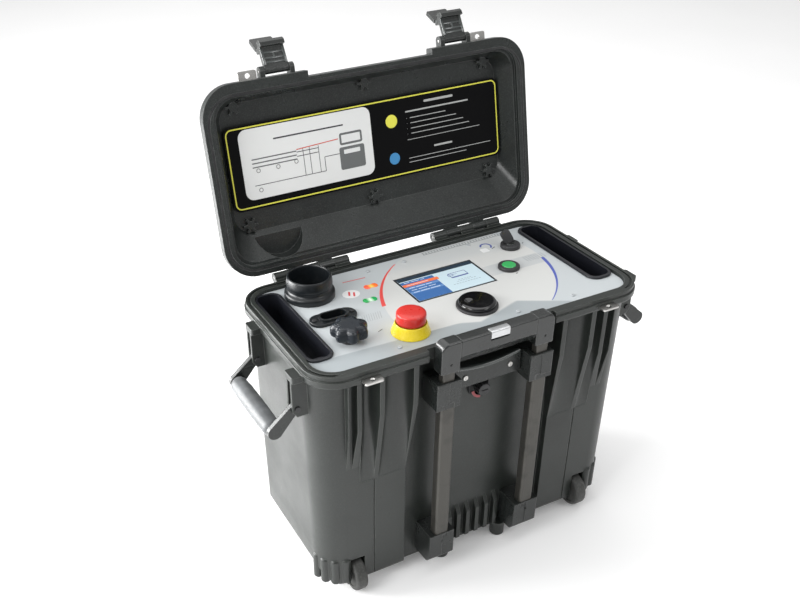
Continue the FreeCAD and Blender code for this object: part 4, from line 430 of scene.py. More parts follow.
@dataclass(frozen=True)
class PanelPrint(Finish):
    """Satin printed panel: a pale field between two arcs, with soft grey bands."""

    centre: Point = (0.0, 0.0, 0.0)
    pale: Colour = (0.64, 0.645, 0.63)
    band: Colour = (0.42, 0.455, 0.475)
    shade: Colour = (0.36, 0.395, 0.41)
    red: Colour = (0.78, 0.06, 0.05)
    blue: Colour = (0.06, 0.09, 0.42)

    def disc(self, graph: Graph, spot: bpy.types.NodeSocket, x: float, y: float) -> bpy.types.NodeSocket:
        """Distance in millimetres from a point of the panel.

        Args:
            graph: The material.
            spot: Centred coordinates in millimetres.
            x: Place across.
            y: Place from front to rear.

        Returns:
            The distance output.
        """
        away = graph.node("VectorMath", operation="DISTANCE")
        flat = graph.node("CombineXYZ")
        parts = graph.split(spot)
        graph.feed(flat.inputs[0], parts[0])
        graph.feed(flat.inputs[1], parts[1])
        graph.feed(away.inputs[0], flat.outputs[0])
        graph.feed(away.inputs[1], (x, y, 0.0))
        return away.outputs["Value"]

    def ring(self, graph: Graph, away: bpy.types.NodeSocket, radius: float, width: object
             ) -> bpy.types.NodeSocket:
        """Mask of a thin arc, with an even or changing width.

        Args:
            graph: The material.
            away: Distance from the arc's centre.
            radius: Radius of the arc.
            width: Width of the line.

        Returns:
            The mask output.
        """
        off = graph.math("ABSOLUTE", graph.math("SUBTRACT", away, radius))
        edge = graph.math("SUBTRACT", graph.math("MULTIPLY", width, 0.5), off)
        return graph.step(edge, -0.15, 0.15)

    def slope(self, graph: Graph, parts: list[bpy.types.NodeSocket], across: float, along: float,
              offset: float, soft: float) -> bpy.types.NodeSocket:
        """Mask of the half of the panel on one side of a slanted line.

        Args:
            graph: The material.
            parts: X and Y in millimetres.
            across: Weight of X.
            along: Weight of Y.
            offset: Where the line lies.
            soft: Width of the change.

        Returns:
            The mask output.
        """
        total = graph.math("ADD", graph.math("MULTIPLY", parts[0], across),
                           graph.math("MULTIPLY", parts[1], along))
        return graph.step(total, offset - soft, offset + soft)

    def draw(self, graph: Graph) -> Graph:
        """Draws the print."""
        spot = graph.place(self.centre, (1 / MM, 1 / MM, 1 / MM))
        parts = graph.split(spot)
        left = self.disc(graph, spot, 85.0, -49.0)
        right = self.disc(graph, spot, 26.7, 35.2)
        inside = graph.math("MULTIPLY", graph.step(left, 180.4, 179.6), graph.step(right, 157.4, 156.6))
        tone = graph.mix(inside, self.colour, self.pale)
        near = graph.math("MULTIPLY", self.slope(graph, parts, -0.035, -1.0, 83.6, 1.0),
                          self.slope(graph, parts, -0.383, -1.0, 91.8, 2.0))
        sweep = graph.math("MULTIPLY", self.slope(graph, parts, 0.31, -1.0, 94.0, 2.0),
                           self.slope(graph, parts, -0.56, -1.0, 28.4, 2.0))
        tone = graph.mix(graph.math("MAXIMUM", near, sweep), tone, self.shade)
        behind = graph.math("MULTIPLY", self.slope(graph, parts, 0.0, 1.0, 2.0, 0.5),
                            self.slope(graph, parts, 0.0, -1.0, -31.0, 0.5))
        behind = graph.math("MULTIPLY", behind, graph.step(parts[0], 70.0, 100.0))
        behind = graph.math("MULTIPLY", behind, graph.step(parts[0], 182.0, 181.0))
        tone = graph.mix(graph.math("MULTIPLY", behind, 0.5), tone, self.band)
        far = graph.math("MULTIPLY", self.slope(graph, parts, 0.1, 1.0, 78.0, 8.0), 0.45)
        tone = graph.mix(far, tone, self.colour)
        span = graph.math("MULTIPLY", graph.step(parts[1], 2.5, 3.5), graph.step(parts[1], 101.0, 100.0))
        width = graph.step(parts[1], 3.0, 100.0, 6.0, 1.6)
        red = graph.math("MULTIPLY", self.ring(graph, left, 180.0, width), span)
        tone = graph.mix(graph.math("MULTIPLY", red, graph.step(parts[0], 0.0, -1.0)), tone, self.red)
        span = graph.math("MULTIPLY", graph.step(parts[1], -92.5, -91.5), graph.step(parts[1], 16.0, 15.0))
        width = graph.step(parts[1], -92.0, 6.0, 1.2, 5.4)
        blue = graph.math("MULTIPLY", self.ring(graph, right, 157.0, width), span)
        tone = graph.mix(graph.math("MULTIPLY", blue, graph.step(parts[0], 99.0, 100.0)), tone, self.blue)
        haze = graph.step(graph.noise(graph.place(), 9.0, 2.0), 0.3, 0.7, 0.0, 0.08)
        tone = graph.mix(haze, tone, self.band)
        normal, _ = graph.soft_edge(0.0006)
        relief = graph.noise(graph.place(), 1400.0, 2.0)
        graph.surface(tone, 0.42, graph.bump(relief, 0.00002, 0.5, normal))
        graph.shader.inputs["Coat Weight"].default_value = 0.25
        graph.shader.inputs["Coat Roughness"].default_value = 0.25
        return graph


# Colours are linear.
CASE = MouldedPlastic("case_moulding", (0.018, 0.0213, 0.019), worn_and_highlight=(0.17, 0.185, 0.17), rough=0.35,
                      cloud=0.14, cloud_scale=9.0, speck=0.06, speck_scale=520.0, grain=0.00007,
                      edge_wear_and_highlight=0.5, edge=0.0016)
LID = MouldedPlastic("lid_moulding", (0.0165, 0.0195, 0.0185), worn_and_highlight=(0.22, 0.235, 0.225), rough=0.31,
                     cloud=0.28, cloud_scale=20.0, speck=0.14, speck_scale=640.0, grain=0.00006,
                     edge_wear_and_highlight=0.5)
WHEEL = MouldedPlastic("wheel_moulding", (0.05, 0.051, 0.048), worn_and_highlight=(0.2, 0.2, 0.19), rough=0.55)
BRACKET = MouldedPlastic("bracket_moulding", (0.017, 0.0195, 0.0185), worn_and_highlight=(0.24, 0.25, 0.24), rough=0.27,
                         cloud=0.15, speck=0.04, grain=0.00003, edge_wear_and_highlight=0.28, edge=0.0014)
GRIP = MouldedPlastic("grip_moulding", (0.012, 0.014, 0.0135), worn_and_highlight=(0.3, 0.32, 0.31), rough=0.24,
                      cloud=0.15, speck=0.02, grain=0.00002, coat=0.4, edge_wear_and_highlight=0.2, edge=0.002)
LIP_PAINTED_HIGHLIGHT = MouldedPlastic("lip_painted_highlight", (0.05, 0.058, 0.056), worn_and_highlight=(0.3, 0.32, 0.31), rough=0.2,
                     cloud=0.1, speck=0.0, grain=0.00001, coat=0.8, edge_wear_and_highlight=0.0, edge=0.001)
TUBE = WorkedMetal("tube_anodised", (0.08, 0.077, 0.069), rough=0.36, metal=0.5,
                   smudge=(0.04, 0.038, 0.035), smudges=0.7, brush=(30.0, 30.0, 1.0))
SLEEVE = SoftRubber("handle_sleeve", (0.062, 0.067, 0.07), bloom=(0.17, 0.18, 0.19), rough=0.44)
SEAL = SoftRubber("seal_soft", (0.012, 0.012, 0.013), bloom=(0.08, 0.08, 0.08))
STEEL = WorkedMetal("bright_steel", (0.62, 0.61, 0.59), rough=0.3, smudges=0.2, brush=(1.0, 30.0, 30.0))
BUTTON = WorkedMetal("satin_chrome", (0.7, 0.71, 0.72), rough=0.3, smudges=0.1, brush=(1.0, 30.0, 30.0))
BRASS = WorkedMetal("bare_brass", (0.62, 0.44, 0.16), rough=0.3)
TRAY = PlainPlastic("tray_moulding", (0.012, 0.013, 0.018), rough=0.34)
SOCKET = PlainPlastic("socket_moulding", (0.0058, 0.008, 0.01), rough=0.36, coat=0.0)
DIAL = PlainPlastic("dial_moulding", (0.004, 0.004, 0.005), rough=0.14, coat=0.4)
KNOB = PlainPlastic("knob_moulding", (0.012, 0.016, 0.022), rough=0.32)
YELLOW = PlainPlastic("warm_yellow", (0.95, 0.73, 0.033), rough=0.28, vary=0.2, coat=0.2)
# The faint glow of this red is painted light on the e-stop cap, which is no lamp.
RED = PlainPlastic("signal_red", (0.6, 0.026, 0.019), rough=0.3, coat=0.2, glow=0.02)
# The glow of this green is painted light on the start button, which is no lamp.
GREEN = PlainPlastic("lens_green", (0.05, 0.42, 0.12), rough=0.22, coat=0.4, glow=0.1)
SWITCH = PlainPlastic("switch_body", (0.03, 0.03, 0.032), rough=0.5)
FRAME_BLACK = PlainPlastic("display_frame", (0.02, 0.024, 0.03), rough=0.45)
GLASS = PlainPlastic("window_glass", (0.5, 0.62, 0.66), rough=0.1, coat=0.6)
BOARD = PlainPlastic("label_face", (0.003, 0.003, 0.0035), rough=0.35, shine=0.1)
MILL = WorkedMetal("mill_sheet", (0.55, 0.56, 0.57), rough=0.4)
TANK = PlainPlastic("tank_enamel", (0.1, 0.12, 0.13), rough=0.45)
RESIN = PlainPlastic("stack_cast", (0.2, 0.03, 0.02), rough=0.2, coat=0.4)
SCREW_PAINT = PlainPlastic("screw_paint", (0.5, 0.53, 0.545), rough=0.4)
MASK = PlainPlastic("solder_mask", (0.01, 0.08, 0.03), rough=0.3, coat=0.3)

NODE_FINISHES: dict[str, Finish] = {
    "base_shell": CASE, "base_padlock_plates": STEEL, "hinge_pins": STEEL, "wheel_axles": STEEL,
    "wheel_right": WHEEL, "wheel_left": WHEEL, "trolley_outer_tubes": TUBE,
    "trolley_top_brackets": BRACKET, "trolley_bottom_brackets": BRACKET,
    "trolley_cross_brace": BRACKET, "trolley_brace_screws": STEEL, "trolley_inner_tubes": TUBE,
    "trolley_grip": GRIP, "trolley_button": BUTTON, "valve_seat": SWITCH, "valve_knob": SWITCH,
    "side_handle_left_arms": BRACKET, "side_handle_left_grip": SLEEVE,
    "side_handle_right_arms": BRACKET, "side_handle_right_grip": SLEEVE, "side_handle_pins": SWITCH,
    "lid_shell": LID, "lid_seal": SEAL, "lid_label": BOARD, "lid_padlock_plates": STEEL,
    "latch_pins": STEEL, "latch_left_arm": BRACKET, "latch_left_lever": BRACKET,
    "latch_right_arm": BRACKET, "latch_right_lever": BRACKET, "panel_screws": SCREW_PAINT,
    "tray_left": TRAY, "tray_right": TRAY, "hv_socket": SOCKET, "hv_contact": BRASS,
    "aux_socket": SOCKET, "aux_pins": BRASS, "aux_screws": SWITCH, "ground_stud": SWITCH,
    "ground_washer": SWITCH, "ground_knob": KNOB, "estop_collar": YELLOW, "estop_stem": SWITCH,
    "estop_cap": RED, "estop_block": SWITCH, "jog_encoder": SWITCH, "jog_knob": DIAL,
    "start_switch": SWITCH, "start_button": GREEN, "key_housing": SWITCH, "key_barrel": SWITCH,
    "display_module": FRAME_BLACK, "display_window": GLASS, "lamp_lenses": RED, "chassis": MILL,
    "transformer": TANK, "rectifier_stack": RESIN, "power_supply": MILL, "control_board": MASK,
}


# ---- placing and making pieces ----
@dataclass(frozen=True)
class Placing:
    """Turns millimetres about the middle of the base into the frame's metres."""

    origin: Vector

    @classmethod
    def from_frame(cls) -> Placing:
        """The middle of the base, read from the panel, which is centred on it."""
        low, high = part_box("panel_plate")
        return cls(Vector((0.0, (low.y + high.y) / 2, 0.0)))

    def at(self, x: float, y: float, z: float) -> Vector:
        """A point in metres."""
        return Vector((x, y, z)) * MM + self.origin

    def matrix(self) -> Matrix:
        """The change from millimetres about the base to the frame."""
        return Matrix.Translation(self.origin) @ Matrix.Scale(MM, 4)

    def centre(self, node: str) -> Vector:
        """Middle of a frame node, in millimetres about the base."""
        low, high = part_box(node)
        return ((low + high) / 2 - self.origin) / MM


class Shape:
    """A mesh in the making, in millimetres."""

    def __init__(self) -> None:
        """Starts empty."""
        self.bm = bmesh.new()

    def move(self, matrix: Matrix) -> Shape:
        """Moves every vertex.

        Args:
            matrix: The transform.

        Returns:
            The shape itself.
        """
        bmesh.ops.transform(self.bm, matrix=matrix, verts=self.bm.verts)
        return self

    def shift(self, x: float, y: float, z: float) -> Shape:
        """Slides the shape."""
        return self.move(Matrix.Translation((x, y, z)))

    def paint(self, index: int) -> Shape:
        """Gives every face one of the piece's finishes."""
        for face in self.bm.faces:
            face.material_index = index
        return self

    def add(self, other: Shape) -> Shape:
        """Takes in another shape and empties it.

        Args:
            other: The shape to take in.

        Returns:
            The shape itself.
        """
        store = bpy.data.meshes.new("store")
        other.bm.to_mesh(store)
        other.bm.free()
        self.bm.from_mesh(store)
        bpy.data.meshes.remove(store)
        return self

    def round(self, width: float, steps: int = 3, sharper: float = 30.0) -> Shape:
        """Bevels every edge that is sharper than an angle.

        Args:
            width: Width of the bevel.
            steps: Faces across it.
            sharper: Angle in degrees.

        Returns:
            The shape itself.
        """
        least = math.radians(sharper)
        edges = [e for e in self.bm.edges if e.is_manifold and e.calc_face_angle(0.0) > least]
        bmesh.ops.bevel(self.bm, geom=edges, offset=width, segments=steps, profile=0.5,
                        affect="EDGES", clamp_overlap=True, material=-1)
        return self


def rounded_sheet(width: float, depth: float, corner: float, steps: int = 6) -> Shape:
    """A flat sheet with round corners about the origin.

    Args:
        width: Size along X.
        depth: Size along Y.
        corner: Radius of the corners.
        steps: Edges round each corner.

    Returns:
        The sheet.
    """
    sheet = Shape()
    bmesh.ops.create_grid(sheet.bm, x_segments=1, y_segments=1, size=0.5)
    bmesh.ops.scale(sheet.bm, vec=(width, depth, 1.0), verts=sheet.bm.verts)
    if corner > 0.0:
        bmesh.ops.bevel(sheet.bm, geom=sheet.bm.verts[:], offset=corner, segments=steps,
                        profile=0.5, affect="VERTICES", material=-1)
    return sheet


def raise_sheet(sheet: Shape, low: float, high: float) -> Shape:
    """Gives a flat sheet a thickness.

    Args:
        sheet: The sheet, lying at height 0.
        low: Height of its underside.
        high: Height of its top.

    Returns:
        The same shape, closed.
    """
    sheet.shift(0, 0, low)
    raised = bmesh.ops.extrude_face_region(sheet.bm, geom=sheet.bm.faces[:], use_keep_orig=True)
    tops = [v for v in raised["geom"] if isinstance(v, bmesh.types.BMVert)]
    bmesh.ops.translate(sheet.bm, vec=(0, 0, high - low), verts=tops)
    bmesh.ops.recalc_face_normals(sheet.bm, faces=sheet.bm.faces)
    return sheet


def tile(x0: float, x1: float, y0: float, y1: float, low: float, high: float, corner: float = 0.0,
         finish: int = 0) -> Shape:
    """A flat block between two corners.

    Args:
        x0: Left side.
        x1: Right side.
        y0: Near side.
        y1: Far side.
        low: Underside.
        high: Top.
        corner: Radius of the upright corners.
        finish: Index of the finish.

    Returns:
        The block.
    """
    made = raise_sheet(rounded_sheet(x1 - x0, y1 - y0, corner), low, high)
    return made.shift((x0 + x1) / 2, (y0 + y1) / 2, 0).paint(finish)


def border(x0: float, x1: float, y0: float, y1: float, corner: float, line: float, low: float,
           high: float, finish: int = 0) -> Shape:
    """A raised line round a rounded rectangle.

    Args:
        x0: Left side.
        x1: Right side.
        y0: Near side.
        y1: Far side.
        corner: Radius of the outer corners.
        line: Width of the line.
        low: Underside.
        high: Top.
        finish: Index of the finish.

    Returns:
        The border.
    """
    sheet = rounded_sheet(x1 - x0, y1 - y0, corner)
    inner = sheet.bm.faces[:]
    bmesh.ops.inset_individual(sheet.bm, faces=inner, thickness=line, use_even_offset=True)
    bmesh.ops.delete(sheet.bm, geom=inner, context="FACES")
    return raise_sheet(sheet, low, high).shift((x0 + x1) / 2, (y0 + y1) / 2, 0).paint(finish)


def line(start: tuple[float, float], end: tuple[float, float], width: float, low: float, high: float,
         finish: int = 0) -> Shape:
    """A straight raised line between two points of a plane.

    Args:
        start: First end.
        end: Other end.
        width: Width of the line.
        low: Underside.
        high: Top.
        finish: Index of the finish.

    Returns:
        The line.
    """
    run = Vector(end) - Vector(start)
    made = tile(0, run.length, -width / 2, width / 2, low, high, width * 0.45, finish)
    made.move(Matrix.Rotation(math.atan2(run.y, run.x), 4, "Z"))
    return made.shift(start[0], start[1], 0)


def turned(profile: Sequence[tuple[float, float]], steps: int = 96, finish: int = 0) -> Shape:
    """A turned solid about Z.

    Args:
        profile: Radius and height of each point, from the axis round to the axis.
        steps: Sides round the axis.
        finish: Index of the finish.

    Returns:
        The solid.
    """
    made = Shape()
    verts = [made.bm.verts.new((radius, 0.0, height)) for radius, height in profile]
    edges = [made.bm.edges.new(ends) for ends in zip(verts, verts[1:])]
    bmesh.ops.spin(made.bm, geom=verts + edges, cent=(0, 0, 0), axis=(0, 0, 1), angle=FULL_TURN,
                   steps=steps, use_merge=True)
    bmesh.ops.remove_doubles(made.bm, verts=made.bm.verts, dist=0.001)
    bmesh.ops.recalc_face_normals(made.bm, faces=made.bm.faces)
    return made.paint(finish)


def outline_disc(radius: Callable[[float], tuple[float, float]], sides: int) -> Shape:
    """A flat disc whose edge follows a rule.

    Args:
        radius: Gives X and Y for each angle.
        sides: Corners round the edge.

    Returns:
        The disc.
    """
    disc = Shape()
    bmesh.ops.create_circle(disc.bm, cap_ends=True, segments=sides, radius=1.0)
    for vert in disc.bm.verts:
        vert.co.xy = radius(math.atan2(vert.co.y, vert.co.x))
    return disc


@dataclass
class Bench:
    """Turns shapes into pieces that ride on the frame."""

    place: Placing

    def piece(self, name: str, shape: Shape, finishes: Sequence[Finish], body: str, slot: str,
              stands_for: Iterable[str] = (), smooth: float = 34.0) -> bpy.types.Object:
        """Finishes one piece.

        Args:
            name: Name of the piece.
            shape: Its shape in millimetres about the base.
            finishes: The finishes that the faces' indices point to.
            body: The body it rides on.
            slot: Not used.
            stands_for: Frame nodes that it replaces.
            smooth: Edges flatter than this angle in degrees are shaded smooth.

        Returns:
            The object.
        """
        shape.move(self.place.matrix())
        mesh = bpy.data.meshes.new(name)
        shape.bm.to_mesh(mesh)
        shape.bm.free()
        for finish in finishes:
            mesh.materials.append(finish.make())
        mesh.polygons.foreach_set("use_smooth", [True] * len(mesh.polygons))
        mesh.set_sharp_from_angle(angle=math.radians(smooth))
        made = bpy.data.objects.new(name, mesh)
        bpy.context.scene.collection.objects.link(made)
        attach(made, body)
        if stands_for:
            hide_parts(*stands_for)
        LOG.info("made %s, %d faces, on %s", name, len(mesh.polygons), body)
        return made


# ---- sub-assemblies ----
PRINT_LOW = -0.05
PRINT_HIGH = 0.12


@dataclass
class PanelMarks:
    """Tick strips, rules and plain marks printed on the panel."""

    bench: Bench
    top: float
    grey: Finish = PlainPlastic("print_grey", (0.36, 0.39, 0.41), rough=0.4)
    white: Finish = PlainPlastic("print_white", (0.85, 0.86, 0.86), rough=0.4)
    red: Finish = PlainPlastic("print_red", (0.75, 0.08, 0.08), rough=0.4)
    blue: Finish = PlainPlastic("print_blue", (0.07, 0.1, 0.36), rough=0.4)
    black: Finish = PlainPlastic("print_black", (0.02, 0.02, 0.02), rough=0.4)
    rule: Finish = PlainPlastic("print_rule", (0.2, 0.225, 0.24), rough=0.4)

    def ticks(self, x: float, y: float, count: int, pitch: float, length: float, lean: float,
              finish: int, width: float = 0.7) -> Shape:
        """A row of slanted ticks.

        Args:
            x: Left end.
            y: Near end.
            count: Number of ticks.
            pitch: Distance between them.
            length: Length of a tick.
            lean: How far its far end lies to the right.
            finish: Index of the finish.
            width: Width of a tick.

        Returns:
            The row.
        """
        row = Shape()
        for i in range(count):
            start = (x + i * pitch, y)
            row.add(line(start, (start[0] + lean, y + length), width, PRINT_LOW, PRINT_HIGH, finish))
        return row

    def arc(self, x: float, y: float, radius: float, width: float, start: float, sweep: float,
            finish: int) -> Shape:
        """A flat arc.

        Args:
            x: Centre across.
            y: Centre from front to rear.
            radius: Middle radius.
            width: Width of the band.
            start: First angle in degrees.
            sweep: Angle covered in degrees.
            finish: Index of the finish.

        Returns:
            The arc.
        """
        made = Shape()
        inner, outer = radius - width / 2, radius + width / 2
        spots = [(inner, PRINT_LOW), (inner, PRINT_HIGH), (outer, PRINT_HIGH), (outer, PRINT_LOW)]
        verts = [made.bm.verts.new((r, 0.0, z)) for r, z in spots]
        face = made.bm.faces.new(verts)
        bmesh.ops.spin(made.bm, geom=[face], cent=(0, 0, 0), axis=(0, 0, 1),
                       angle=math.radians(sweep), steps=24)
        bmesh.ops.recalc_face_normals(made.bm, faces=made.bm.faces)
        return made.move(Matrix.Rotation(math.radians(start), 4, "Z")).shift(x, y, 0).paint(finish)

    def build(self) -> None:
        """Prints the panel."""
        marks = self.ticks(37.0, 106.0, 30, 4.9, 4.4, 0.0, 5, 1.1)
        marks.add(line((35.0, 104.8), (181.0, 104.8), 0.9, PRINT_LOW, PRINT_HIGH, 5))
        marks.add(line((35.0, 111.2), (181.0, 111.2), 0.7, PRINT_LOW, PRINT_HIGH, 0))
        marks.add(self.ticks(158.0, 14.0, 8, 4.4, 15.0, 0.0, 0, 1.0))
        marks.add(self.ticks(-132.0, -22.0, 9, 3.4, 17.0, 6.0, 0, 0.6))
        marks.add(line((-107.0, 88.4), (-71.7, 86.4), 1.5, PRINT_LOW, PRINT_HIGH, 2))
        oval = outline_disc(lambda a: (12.6 * math.cos(a), 11.0 * math.sin(a)), 48)
        marks.add(raise_sheet(oval, PRINT_LOW, PRINT_HIGH).shift(-111.0, 54.0, 0).paint(1))
        for x, y in ((-113.5, 55.5), (-108.0, 51.5)):
            marks.add(line((x - 1.8, y - 5.2), (x + 2.6, y + 5.2), 2.6, PRINT_LOW, PRINT_HIGH * 2, 2))
        marks.add(self.arc(131.0, 84.0, 8.0, 2.6, -60.0, 230.0, 3))
        marks.add(tile(116.0, 128.5, 68.0, 79.5, PRINT_LOW, PRINT_HIGH, 2.0, 1))
        marks.add(line((134.5, 73.0), (142.0, 76.5), 1.1, PRINT_LOW, PRINT_HIGH, 4))
        marks.add(line((120.5, -7.5), (124.0, -6.8), 1.3, PRINT_LOW, PRINT_HIGH, 4))
        marks.add(line((-126.0, -50.5), (-118.0, -47.0), 0.9, PRINT_LOW, PRINT_HIGH, 4))
        marks.add(line((184.0, 66.0), (186.5, 67.0), 1.6, PRINT_LOW, PRINT_HIGH, 4))
        self.bench.piece("panel_marks", marks.shift(0, 0, self.top),
                         [self.grey, self.white, self.red, self.blue, self.black, self.rule], "case",
                         "panel_paint")


@dataclass(frozen=True)
class LitLens(Finish):
    """Lamp lens, bright in the middle and coloured towards its two ends."""

    right_end: Colour = (0.9, 0.2, 0.02)
    heart: Colour = (1.0, 0.75, 0.35)
    centre: Point = (0.0, 0.0, 0.0)
    reach: float = 8.0

    def draw(self, graph: Graph) -> Graph:
        """Draws the lens."""
        spot = graph.place(self.centre, (1 / MM, 1 / MM, 1 / MM))
        across = graph.split(spot)[0]
        tone = graph.mix(graph.step(across, -2.0, 2.0), self.colour, self.right_end)
        away = graph.math("ABSOLUTE", across)
        hot = graph.step(away, self.reach * 0.62, 0.0)
        tone = graph.mix(hot, tone, self.heart)
        graph.surface(tone, 0.18, graph.bump(graph.noise(graph.place(), 500.0), 0.00005, 0.4))
        graph.feed(graph.shader.inputs["Emission Color"], tone)
        graph.shader.inputs["Emission Strength"].default_value = 0.25
        graph.shader.inputs["Coat Weight"].default_value = 0.5
        return graph


@dataclass
class Lamps:
    """Two lamp lenses in the shape of a bow."""

    bench: Bench
    top: float
    half_length: float = 10.4
    half_width: float = 6.6

    def bow(self, angle: float) -> tuple[float, float]:
        """Edge of a lens at an angle."""
        waist = 0.55 + 0.75 * abs(math.cos(angle))
        return self.half_length * math.cos(angle), self.half_width * math.sin(angle) * waist

    def build(self) -> None:
        """Sets both lenses over the frame's indicator lenses."""
        red = ((-77.0, 60.0), (0.85, 0.12, 0.06), (0.92, 0.17, 0.03), (0.98, 0.62, 0.12))
        green = ((-96.0, 27.0), (0.02, 0.33, 0.08), (0.02, 0.36, 0.1), (0.75, 0.95, 0.75))
        lenses = Shape()
        finishes = []
        for index, ((x, y), left, right, heart) in enumerate((red, green)):
            lens = raise_sheet(outline_disc(self.bow, 72), PRINT_LOW, 1.1).round(0.5, 3, 50.0)
            lenses.add(lens.shift(x, y, 0).paint(index))
            centre = self.bench.place.at(x, y, self.top)
            finishes.append(LitLens(f"lamp_lens_{index}", left, right_end=right, heart=heart,
                                    centre=tuple(centre)))
        self.bench.piece("lamp_bows", lenses.shift(0, 0, self.top), finishes, "case", "lens",
                         ["lamp_lenses"])


@dataclass
class Screen:
    """The lit display behind its window."""

    bench: Bench
    half_x: float = 60.7
    half_y: float = 32.7
    pale: Finish = PlainPlastic("screen_pale", (0.55, 0.68, 0.74), rough=0.12, vary=0.03, glow=0.14)
    band: Finish = PlainPlastic("screen_band", (0.035, 0.055, 0.08), rough=0.12)
    menu: Finish = PlainPlastic("screen_menu", (0.06, 0.16, 0.4), rough=0.12, glow=0.1)
    mid: Finish = PlainPlastic("screen_mid", (0.14, 0.28, 0.56), rough=0.12, glow=0.1)
    row: Finish = PlainPlastic("screen_row", (0.9, 0.2, 0.08), rough=0.12, glow=0.1)
    text: Finish = PlainPlastic("screen_light", (0.75, 0.85, 0.95), rough=0.12, glow=0.1)
    ink: Finish = PlainPlastic("screen_ink", (0.1, 0.13, 0.38), rough=0.12)
    grey: Finish = PlainPlastic("screen_grey", (0.33, 0.42, 0.48), rough=0.12)

    def rows(self) -> Shape:
        """The menu on the left with its rows of plain strokes."""
        left, menu_right = -self.half_x, -8.0
        made = tile(left, menu_right, -self.half_y, 22.5, 0.0, 0.1, 0.0, 2)
        heights = (19.5, 4.0, -2.5, -9.0)
        for index, y in enumerate(heights):
            made.add(tile(left, menu_right, y - 2.6, y + 2.6, 0.0, 0.14, 0.0, 3 if index % 2 else 2))
            for start, length in ((left + 5.0, 9.0), (left + 16.0, 14.0), (left + 32.0, 6.0 + 3 * index)):
                made.add(line((start, y), (start + length, y), 1.0, 0.0, 0.18, 5))
        made.add(tile(left, menu_right + 4.0, 8.6, 15.4, 0.0, 0.18, 0.0, 4))
        made.add(line((left + 5.0, 12.0), (left + 40.0, 12.0), 0.9, 0.0, 0.22, 5))
        made.add(tile(left, menu_right, -self.half_y, -24.0, 0.0, 0.14, 0.0, 2))
        return made

    def sketch(self) -> Shape:
        """The plain outline drawing and strokes on the right."""
        made = border(12.0, 40.0, 0.5, 14.0, 1.5, 0.9, 0.0, 0.14, 6)
        made.add(tile(12.6, 39.4, 0.8, 3.2, 0.0, 0.16, 0.4, 6))
        made.add(border(10.0, 18.0, 6.0, 12.0, 1.0, 0.7, 0.0, 0.15, 6))
        made.add(line((14.0, 9.0), (25.0, 9.5), 0.6, 0.0, 0.15, 6))
        for y, start, end in ((-7.5, 17.0, 38.0), (-11.0, 13.0, 41.0), (-16.5, 4.0, 50.0)):
            spot = start
            while spot < end:
                made.add(line((spot, y), (spot + 3.2, y), 0.9, 0.0, 0.13, 7))
                spot += 4.6
        return made

    def build(self) -> None:
        """Lays the picture on the window's glass."""
        low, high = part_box("display_window")
        face = (high.z - self.bench.place.origin.z) / MM
        base = (low.z - self.bench.place.origin.z) / MM
        middle = self.bench.place.centre("display_window")
        glass = tile(-self.half_x, self.half_x, -self.half_y, self.half_y, base - face, 0.0, 0.3, 0)
        picture = glass.add(tile(-self.half_x, self.half_x, 24.5, self.half_y, -0.1, 0.1, 0.0, 1))
        picture.add(self.rows().shift(0, 0, -0.05)).add(self.sketch().shift(0, 0, -0.05))
        finishes = [self.pale, self.band, self.menu, self.mid, self.row, self.text, self.ink, self.grey]
        self.bench.piece("display_picture", picture.shift(middle.x, middle.y, face), finishes,
                         "case", "display_glass", ["display_window"])


